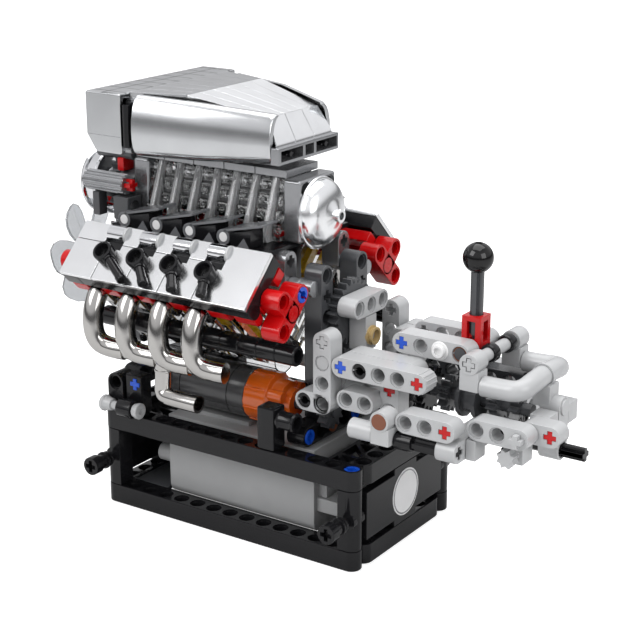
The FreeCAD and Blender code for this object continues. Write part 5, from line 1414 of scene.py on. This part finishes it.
    def polished(self) -> None:
        """Build the dome with its bored hub and the dished front pulley."""
        make = self.bench
        curve = [(1.2 + 6.0 * math.sin(math.radians(a)), 13.0 * math.cos(math.radians(a)) ** 0.8)
                 for a in range(0, 78, 6)]
        profile = [(0.0, 0.0), (0.0, 13.6), (0.5, 13.9), (1.1, 13.6)] + curve
        profile += [(8.4, 2.3), (9.4, 2.2), (9.8, 2.7), (10.4, 2.6), (10.4, 1.5), (6.0, 1.4), (6.0, 0.0)]
        dome = make.turned(profile, (self.last + PITCH + 0.1, 0, self.shaft), Axis.X, 72)
        make.deliver("polished_dome", [dome], CHROME_SATIN, Body.STAND, ["blower_dome"], 30.0)
        rim = [(0, BORE), (0, 12.4), (0.2, 13.6), (0.9, 14.0), (1.6, 13.7), (2.2, 12.9), (5.8, 12.9),
               (6.4, 13.7), (7.1, 14.0), (7.8, 13.6), (8.0, 12.4), (7.0, 11.6), (5.2, 11.2), (4.9, 5.0),
               (5.6, 4.6), (8.0, 4.4), (8.0, BORE)]
        pulley = make.turned(rim, (self.pulley, 0, self.shaft), Axis.X, 72)
        make.deliver("polished_pulley", [pulley], CHROME, Body.BLOWER, ["blower_pulley"], 30.0)

    def roller(self) -> None:
        """Build the ribbed roller and its red axle end."""
        make, reach = self.bench, self.roller_radius
        y, z = self.roller_y, self.roller_z
        start, end = self.pulley + PITCH + 0.1, self.first - 6.6
        parts = [make.bar((start, y, z), (end, y, z), reach, 40, 0.2)]
        ribs = 14
        for k in range(ribs):
            angle = 2.0 * math.pi * k / ribs
            side, up = y + reach * math.cos(angle), z + reach * math.sin(angle)
            parts.append(make.bar((start + 0.2, side, up), (end - 0.2, side, up), 0.48, 12, 0.0))
        parts.append(make.bar((end - 1, y, z), (-57.0, y, z), 1.45, 20, 0.0))
        make.deliver("ribbed_roller", parts, MID, Body.ROLLER, ["idler_roller"])
        axle = make.cross((-58.6, y, z), (-55.4, y, z), 2.3, 1.6)
        make.deliver("roller_axle_end", [axle], RED, Body.ROLLER)

    def build(self) -> None:
        """Build the whole supercharger."""
        self.case()
        self.frames()
        self.flaps()
        self.manifold()
        self.polished()
        self.roller()


@dataclass
class AirScoop:
    """The silver air scoop: a tiled rear block, curved side panels, a fanning hood and the inlet."""

    bench: Bench
    low: float = 144.5
    tall: float = 23.0
    rear: float = -62.0
    half: float = 36.0
    front_half: float = 20.0

    def rear_block(self) -> None:
        """Build the rear block with its tile seams, open towards the front."""
        make = self.bench
        low, top, rear, half, end = self.low, self.low + self.tall, self.rear, self.half, self.rear + 17.0
        outline = [(rear + 4.4, low), (end, low), (end, top), (rear + 0.6, top), (rear, top - 0.8),
                   (rear, low + 6.6)]
        block = make.plate([(x, -half, z) for x, z in outline], (0, 2 * half, 0), 0.0)
        hollow = make.block((rear + 6.8, 2.4 - half, low + 2.4), (end + 1, half - 2.4, top - 2.4), 0.0)
        make.cut(block, [hollow])
        make.soften(block, 0.7, 3)
        seams = [make.block((rear - 1, PITCH * k - 0.2, top - 0.4), (end + 1, PITCH * k + 0.2, top + 1), 0.0)
                 for k in range(-4, 5)]
        make.cut(block, seams)
        make.cut(block, [make.block((rear + 8.3, -40, top - 0.35), (rear + 8.7, 40, top + 1), 0.0)])
        ledges = [make.block((rear - 1, side * half - 0.3, low + 6.6),
                             (rear + 20, side * half + 0.3, low + 6.8), 0.0) for side in (-1, 1)]
        make.cut(block, ledges)
        make.deliver("scoop_rear_block", [block], SILVER, Body.STAND, ["scoop_rear"])
        clips = [make.bar((-46.5, -33.0, low + 2.0), (-41.5, -33.0, low + 2.0), 1.6, 20, 0.2),
                 make.bar((-46.5, -29.0, top - 3.5), (-41.5, -29.0, top - 3.5), 1.4, 20, 0.2)]
        make.deliver("scoop_clip_set", clips + [make.mirror(clip) for clip in clips], MID, Body.STAND)

    def side_section(self, x: float, y: float, tall: float) -> list[Point]:
        """Return a side panel's bowed section at one place along the engine.

        Args:
            x: The place along the engine.
            y: The place across it that the section's outer face reaches.
            tall: The section's height.

        Returns:
            The section's corners in order.
        """
        bow = [(3.4, 0.0), (1.7, 1.2), (0.7, 3.2), (0.15, 6.0), (0.0, 0.42 * tall), (0.25, 0.62 * tall),
               (1.1, 0.8 * tall), (2.4, 0.92 * tall), (4.2, tall)]
        outer = [(x, y + w, self.low + z) for w, z in bow]
        inner = [(x, y + w + 2.3, self.low + max(0.0, min(z, tall - 0.02))) for w, z in reversed(bow)]
        return outer + inner

    def sides(self) -> None:
        """Build the curved side panels, which lean in towards the inlet."""
        make = self.bench
        places = [(-40.0, -self.half, 22.6), (-14.0, -30.9, 21.2), (10.6, -20.9, 18.2), (12.0, -19.9, 17.6)]
        near = make.soften(make.loft([self.side_section(*place) for place in places]), 0.35, 2)
        both = [near, make.mirror(near)]
        make.deliver("scoop_side_panels", both, SILVER, Body.STAND, ["scoop_sides"], 50.0)

    def hood(self) -> None:
        """Build the tiled deck, the fanning strips of the slope and the panels of the brow."""
        make = self.bench
        deck = self.low + self.tall
        stations = [(-44.9, 30.0, deck), (-23.0, 23.5, deck), (8.5, 16.2, self.low + 16.6),
                    (13.9, 18.2, self.low + 7.6)]
        gap = 0.11
        panels = []
        for count, rear, front in zip((7, 6, 3), stations, stations[1:]):
            (back, back_half, high), (fore, fore_half, low) = rear, front
            strips = []
            for k in range(count):
                near, far = 2.0 * k / count - 1.0, 2.0 * (k + 1) / count - 1.0
                top = [(back + gap, near * back_half + gap, high), (fore - gap, near * fore_half + gap, low),
                       (fore - gap, far * fore_half - gap, low), (back + gap, far * back_half - gap, high)]
                strips.append(make.plate(top, (0, 0, -1.6), 0.06))
            base = [(back, -back_half + 0.3, high - 1.4), (fore, -fore_half + 0.3, low - 1.4),
                    (fore, fore_half - 0.3, low - 1.4), (back, back_half - 0.3, high - 1.4)]
            strips.append(make.plate(base, (0, 0, -0.9), 0.0))
            panels.append(strips)
        tiled, slope, brow = panels
        make.deliver("scoop_hood_deck", tiled, SILVER, Body.STAND, ["scoop_hood"])
        make.deliver("scoop_hood_slope", slope, CHROME_SATIN, Body.STAND)
        make.deliver("scoop_brow", brow, CHROME_SATIN, Body.STAND)

    def inside(self) -> None:
        """Build the black tray, back wall and fittings that show inside the scoop."""
        make = self.bench
        deck, floor = self.low + self.tall, self.low + 0.6
        fittings = [make.block((-44.5, -33.2, self.low + 0.9), (-40.2, -30.4, deck - 3.0), 0.3),
                    make.block((-45.5, -27.5, deck - 6.2), (-37.5, -22.0, deck - 2.6), 0.3),
                    make.bar((-43.0, -34.6, self.low + 3.0), (-43.0, -34.6, deck - 4.0), 1.5, 20, 0.1)]
        edge = [(-50, -33), (-40, -33), (10.5, -17.5), (10.5, 17.5), (-40, 33), (-50, 33)]
        tray = make.plate([(x, y, floor) for x, y in edge], (0, 0, 1.6))
        back = make.block((-54.8, -33.4, self.low + 2.5), (-52.0, 33.4, deck - 2.5), 0.2)
        far = [make.mirror(part) for part in fittings]
        make.deliver("scoop_inside", fittings + far + [tray, back], BLACK, Body.STAND)

    def inlet(self) -> None:
        """Build the inlet's grey frame with its openings, the pins inside and the floor behind."""
        make, low = self.bench, self.low
        half = self.front_half - 0.2
        frame = make.block((12.1, -half, low), (16.0, half, low + 6.4), 0.0)
        make.soften(frame, 0.5, 2)
        openings = [make.block((11.0, left, low + 1.3), (17.0, right, low + 5.3), 0.0)
                    for left, right in ((-half + 1.4, -4.4), (-2.8, 2.8), (4.4, half - 1.4))]
        make.cut(frame, openings)
        make.deliver("scoop_inlet_frame", [frame], MID, Body.STAND, ["scoop_inlet"])
        dark = [make.block((-40.0, -14.4, low), (12.0, 14.4, low + 1.6), 0.2),
                make.block((10.9, -half + 1.0, low + 0.9), (12.3, half - 1.0, low + 5.9), 0.0)]
        for y in (-11.5, 11.5):
            dark.append(make.bar((12.2, y, low + 3.3), (15.6, y, low + 3.3), 1.0, 16, 0.1))
            dark.append(make.block((12.4, y - 2.4, low + 3.0), (15.0, y + 2.4, low + 3.6), 0.1))
        make.deliver("scoop_inlet_inside", dark, BLACK, Body.STAND)

    def build(self) -> None:
        """Build the whole scoop."""
        self.rear_block()
        self.sides()
        self.hood()
        self.inside()
        self.inlet()


@dataclass
class Drive:
    """The frames and wheels in front of and behind the block, the motor, the rails and the mounts."""

    bench: Bench
    front: float = -64.0
    rear: float = 28.0
    fan_x: float = -96.2
    fan_z: float = 92.0
    blades: int = 6
    motor_y: float = -13.0

    def fan(self) -> None:
        """Build the clear fan with its rounded blades, its hub and its gear."""
        make, x, z = self.bench, self.fan_x, self.fan_z
        hub = [(0, 0), (0, 3.6), (0.8, 4.8), (4.6, 5.0), (5.5, 4.6), (5.5, 0)]
        parts = [make.turned(hub, (x - 2.8, 0, z)), make.bar((x - 3.3, 0, z), (-60.1, 0, z), AXLE, 28, 0.1)]
        edge = [(2.6, 3.0), (4.6, 7.0), (6.4, 11.0), (7.4, 15.0), (6.9, 19.0), (4.8, 21.6), (2.2, 22.5)]
        outline = [(w, h, -0.6) for w, h in edge] + [(-w, h, -0.6) for w, h in reversed(edge)]
        lean = Matrix.Rotation(math.radians(108.0), 4, "Y")
        for k in range(self.blades):
            blade = make.plate(outline, (0, 0, 1.2), 0.3)
            turn = Matrix.Translation((x, 0, z)) @ Matrix.Rotation(math.radians(60.0 * k), 4, "X")
            parts.append(make.settle(blade, turn @ lean))
        phase = make.mesh_phase((0.0, CRANK_Z), (0.0, z), 16, 0.0, 40)
        parts.append(make.gear((-72.0, 0, z), 40, phase))
        make.deliver("clear_fan", parts, FAN_CLEAR, Body.FAN, ["fan"])

    def frames(self) -> None:
        """Build the beams that carry the front train and those behind the block."""
        make, x = self.bench, self.front
        parts = [make.beam((x, y, 64), (x, y, 128), Axis.X, "oooo.ooo+") for y in (-PITCH, PITCH)]
        parts += [self.web(x, z, HALF - 0.1) for z in (64.0, 92.0, 124.0)]
        make.deliver("front_frame_beams", parts, DARK, Body.STAND, ["front_frame"])
        x = self.rear
        parts = [make.beam((x, y, 64), (x, y, 104), Axis.X, "o+oo+o") for y in (-12.0, 12.0)]
        parts += [self.web(x, z, 8.0) for z in (64.0, 88.0)]
        make.deliver("rear_frame_beams", parts, DARK, Body.STAND, ["rear_frame"])
        high = [make.beam((15.8, y, 101), (15.8, y, 109), Axis.X, "++") for y in (-18.0, 18.0)]
        for y in (-18.0, 18.0):
            high.append(make.bar((19.8, y, 100.0), (30.5, y, 100.0), 3.2, 32, 0.3))
            high.append(make.bar((24.0, y, 100.0), (25.0, y, 100.0), 3.6, 32, 0.2))
        make.deliver("manifold_beams", high, MID, Body.STAND)

    def web(self, x: float, z: float, reach: float) -> bpy.types.Object:
        """Return a block between two beams with a bore for an axle."""
        web = self.bench.block((x - HALF, -reach, z - HALF), (x + HALF, reach, z + HALF), 0.3)
        return self.bench.cut(web, [self.bench.bar((x - 9, 0, z), (x + 9, 0, z), BORE, 28, 0.0)])

    def motor(self) -> None:
        """Build the motor's smoky case and its stepped orange gear head."""
        make, y = self.bench, self.motor_y
        z = CRANK_Z - math.sqrt(18.0 ** 2 - 13.0 ** 2)
        case = make.bar((-36, y, z), (0, y, z), 10.2, 64, 0.8)
        groove = [(0, 9.7), (0, 11.5), (0.5, 11.5), (0.5, 9.7)]
        make.cut(case, [make.turned(groove, (x, y, z)) for x in (-31.0, -8.0)])
        cap = make.bar((-38.9, y, z), (-35.5, y, z), 6.2, 40, 0.5)
        make.deliver("motor_can", [case, cap], MOTOR, Body.STAND, ["motor_case"])
        steps = [(0, 2.46), (0, 10.2), (10.0, 10.2), (10.8, 8.4), (15.6, 8.0), (16.2, 5.8), (19.0, 5.7),
                 (19.0, 2.46)]
        parts = [make.soften(make.turned(steps, (0, y, z), Axis.X, 12), 0.25, 2)]
        base = Vector((0, y, z))
        for k in range(8):
            angle = math.radians(45.0 * k + 12.0)
            rib = base + Vector((0, math.cos(angle), math.sin(angle))) * 9.9
            parts.append(make.bar(rib + Vector((0.3, 0, 0)), rib + Vector((9.8, 0, 0)), 0.5, 10, 0.0))
        for k in range(3):
            angle = math.radians(30.0 + 120.0 * k)
            lug = Vector((10.4, y + 7.3 * math.cos(angle), z + 7.3 * math.sin(angle)))
            parts.append(make.bar(lug, lug + Vector((6.6, 0, 0)), 2.3, 24, 0.3))
        make.deliver("gear_head", parts, ORANGE, Body.STAND, ["motor_nose"])

    def rails(self) -> None:
        """Build the dark rails below both banks, with their ring grooves."""
        make = self.bench
        ring = [(0, 2.5), (0, 3.5), (0.4, 3.85), (7.9, 3.85), (8.3, 3.5), (8.3, 2.5)]
        parts = [make.turned(ring, (-60.0 + k * 8.36, -12.2, 32.0), Axis.X, 40) for k in range(11)]
        near = make.settle(make.join(parts), bank_matrix())
        far = make.mirror(near)
        make.deliver("bank_rail_near", [near], BLACK, Body.STAND, ["side_rail_near"])
        make.deliver("bank_rail_far", [far], BLACK, Body.STAND, ["side_rail_far"])

    def mounts(self) -> None:
        """Build the black posts and beams that carry the block."""
        make = self.bench
        parts = []
        grip = [(0, 2.46), (0, 3.6), (0.8, 3.9), (1.6, 3.5), (6.2, 3.5), (7.0, 3.9), (7.8, 3.6), (7.8, 2.46)]
        for y in (-32.0, 32.0):
            parts.append(make.block((20.0 - HALF, y - HALF, 40.1), (20.0 + HALF, y + HALF, 57.0), 0.9))
            parts.append(make.beam((-53.0, y, 44.2), (-53.0, y, 52.2), Axis.Y, ".o"))
            parts.append(make.block((-48.6, y - 3.0, 40.1), (-40.4, y + 3.6, 56.6), 0.9))
            parts.append(make.turned(grip, (24.1, y, 52.0), Axis.X, 36))
        for y in (-12.0, 12.0):
            post = make.block((24.1, y - HALF, 48.1), (31.9, y + HALF, 60.0), 0.3)
            if y < 0:
                make.cut(post, [make.bar((22, -13, 51.55), (34, -13, 51.55), BORE, 28, 0.0)])
            parts.append(post)
        parts.append(make.beam((-52, -24, 52.6), (-52, 24, 52.6), Axis.X, "oooooo+"))
        parts.append(make.beam((28, -24, 44), (28, 24, 44), Axis.X, "ooooooo"))
        make.deliver("black_mount_set", parts, BLACK, Body.STAND, ["black_mounts"])

    def mount_pins(self) -> None:
        """Build the pins and the bush in the posts and beams that carry the block."""
        make = self.bench
        blue = [make.pin_end((32.3, y, 44), Axis.X, 1) for y in (-24.0, 8.0)]
        blue.append(make.cross((-43.4, -35.4, 53), (-43.4, -30, 53), 2.3, 1.7))
        make.deliver("mount_blue_pins", blue, BLUE, Body.STAND)
        brown = make.bar((28.5, -8.0, 44), (32.5, -8.0, 44), PIN, 28, 0.4)
        make.deliver("mount_brown_pin", [brown], BROWN, Body.STAND)
        rod = [(0.0, 2.9), (0.6, 3.3), (1.5, 3.3), (2.0, 2.8), (5.0, 2.4), (5.4, 1.7), (16.0, 1.7),
               (16.4, 2.7), (17.6, 2.7), (17.9, 3.2), (19.0, 3.2), (19.3, 2.8), (19.3, 1.2), (18.4, 1.0),
               (18.4, 0.0), (0.0, 0.0)]
        grey = make.turned(rod, (-56.9, -38.9, 44.0), Axis.X, 36)
        make.deliver("mount_grey_pin", [grey], LIGHT, Body.STAND)
        ring = [(0, 1.72), (0, 3.4), (0.4, 3.7), (6.6, 3.7), (7.0, 3.4), (7.0, 1.72)]
        make.deliver("mount_bush", [make.turned(ring, (-48.0, -38.9, 44.0))], BLACK, Body.STAND)

    def build(self) -> None:
        """Build the whole drive."""
        self.fan()
        self.frames()
        self.motor()
        self.rails()
        self.mounts()
        self.mount_pins()


@dataclass
class Studio:
    """The floor, lamps, world and camera. The places of the eye and the aim are metres."""

    floor_size: float = 6.0
    floor_glow: float = 0.72
    focal: float = 1568.3
    picture: float = 640.0
    film: float = 36.0
    azimuth: float = 33.83
    tilt: float = 17.87
    eye: Point = (0.3392, -0.4754, 0.2662)
    aim: Point = (0.0, 0.0, 0.09)

    def floor(self) -> None:
        """Lay the pale floor, which shows white and keeps the model's shadow."""
        bpy.ops.mesh.primitive_plane_add(size=self.floor_size, location=(0, 0, -0.0002))
        floor = bpy.context.object
        floor.name = "pale_floor"
        material = bpy.data.materials.new("pale_floor")
        material.use_nodes = True
        nodes, links = material.node_tree.nodes, material.node_tree.links
        shader = nodes["Principled BSDF"]
        shader.inputs["Base Color"].default_value = (0.6, 0.6, 0.6, 1.0)
        shader.inputs["Roughness"].default_value = 0.7
        seen = nodes.new("ShaderNodeLightPath")
        shine = nodes.new("ShaderNodeMath")
        shine.operation = "MULTIPLY"
        shine.inputs[1].default_value = self.floor_glow
        links.new(seen.outputs["Is Camera Ray"], shine.inputs[0])
        shader.inputs["Emission Color"].default_value = (1.0, 1.0, 1.0, 1.0)
        links.new(shine.outputs["Value"], shader.inputs["Emission Strength"])
        floor.data.materials.append(material)

    def world(self) -> None:
        """Set a world with bright and dark bands for the plating, and white where it is seen directly."""
        world = bpy.data.worlds.new("studio_world")
        bpy.context.scene.world = world
        world.use_nodes = True
        nodes, links = world.node_tree.nodes, world.node_tree.links
        place = nodes.new("ShaderNodeTexCoord")
        parts = nodes.new("ShaderNodeSeparateXYZ")
        links.new(place.outputs["Generated"], parts.inputs["Vector"])
        shade = nodes.new("ShaderNodeMapRange")
        shade.inputs["From Min"].default_value = -1.0
        links.new(parts.outputs["Z"], shade.inputs["Value"])
        ramp = nodes.new("ShaderNodeValToRGB")
        stops = ((0.0, 0.3), (0.5, 0.2), (0.54, 0.16), (0.6, 0.85), (0.7, 1.0), (0.84, 1.0), (1.0, 0.6))
        while len(ramp.color_ramp.elements) < len(stops):
            ramp.color_ramp.elements.new(0.5)
        for element, (spot, tone) in zip(ramp.color_ramp.elements, stops):
            element.position = spot
            element.color = (tone, tone, tone * 1.02, 1.0)
        links.new(shade.outputs["Result"], ramp.inputs["Fac"])
        back = nodes["Background"]
        links.new(ramp.outputs["Color"], back.inputs["Color"])
        back.inputs["Strength"].default_value = 0.9
        bright = nodes.new("ShaderNodeBackground")
        bright.inputs["Color"].default_value = (1.0, 1.0, 1.0, 1.0)
        bright.inputs["Strength"].default_value = 1.0
        seen = nodes.new("ShaderNodeLightPath")
        either = nodes.new("ShaderNodeMath")
        either.operation = "MAXIMUM"
        links.new(seen.outputs["Is Camera Ray"], either.inputs[0])
        links.new(seen.outputs["Is Transmission Ray"], either.inputs[1])
        mix = nodes.new("ShaderNodeMixShader")
        links.new(either.outputs["Value"], mix.inputs[0])
        links.new(back.outputs["Background"], mix.inputs[1])
        links.new(bright.outputs["Background"], mix.inputs[2])
        links.new(mix.outputs["Shader"], nodes["World Output"].inputs["Surface"])

    def lamp(self, name: str, place: Point, size: float, power: float) -> None:
        """Hang an area lamp that faces the model.

        Args:
            name: The lamp's name.
            place: Where it hangs, in metres.
            size: The side of its square, in metres.
            power: Its power in watts.
        """
        light = bpy.data.lights.new(name, "AREA")
        light.size = size
        light.energy = power
        lamp = bpy.data.objects.new(name, light)
        lamp.location = place
        lamp.rotation_euler = (Vector(self.aim) - Vector(place)).to_track_quat("-Z", "Y").to_euler()
        bpy.context.collection.objects.link(lamp)

    def camera(self) -> None:
        """Set the camera at the photograph's view."""
        view = bpy.data.cameras.new("photo_view")
        view.lens = self.focal / self.picture * self.film
        view.sensor_width = self.film
        view.clip_start = 0.01
        camera = bpy.data.objects.new("photo_view", view)
        turn, tilt = math.radians(self.azimuth), math.radians(self.tilt)
        back = Vector((math.sin(turn) * math.cos(tilt), -math.cos(turn) * math.cos(tilt), math.sin(tilt)))
        camera.location = self.eye
        camera.rotation_euler = (-back).to_track_quat("-Z", "Y").to_euler()
        bpy.context.collection.objects.link(camera)
        bpy.context.scene.camera = camera

    def build(self) -> None:
        """Set up the whole studio."""
        self.camera()
        self.floor()
        self.world()
        self.lamp("key_lamp", (-0.35, -0.75, 0.75), 0.6, 5.5)
        self.lamp("top_lamp", (0.0, 0.1, 0.95), 0.9, 7.0)
        self.lamp("side_lamp", (0.8, -0.25, 0.45), 0.5, 2.5)
        bpy.context.scene.view_settings.view_transform = "Standard"


NODE_FINISHES = {
    "motor_shaft": DARK, "crankcase": CLEAR, "cylinder_bank_near": CLEAR, "cylinder_bank_far": CLEAR,
    "crankshaft": LIGHT, "crank_gears": DARK, "pistons_near_outer": YELLOW, "pistons_near_inner": YELLOW,
    "pistons_far_outer": YELLOW, "pistons_far_inner": YELLOW, "blower_shaft": DARK, "upper_gear": DARK,
    "stand_grille": BLACK, "main_shaft": DARK, "output_shaft": BLACK, "selector_ring": DARK, "pinion": LIGHT,
}


def dress_nodes(nodes: dict[str, bpy.types.Object]) -> None:
    """Give every carried-over solid its finish.

    Args:
        nodes: The solids by name.
    """
    for name, finish in NODE_FINISHES.items():
        node = nodes[name]
        node.data.materials.clear()
        node.data.materials.append(finish.build())


def main() -> None:
    """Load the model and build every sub-assembly."""
    logging.basicConfig(level=logging.INFO, format="%(message)s")
    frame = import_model()
    bpy.ops.object.select_all(action="DESELECT")
    Studio().build()
    dress_nodes(frame["nodes"])
    bench = Bench()
    for assembly in (Stand(bench), Drive(bench), Banks(bench), Supercharger(bench), AirScoop(bench),
                     Gearbox(bench)):
        assembly.build()
        LOG.info("built %s", type(assembly).__name__)
    bench.clear_masters()


if __name__ == "__main__":
    main()
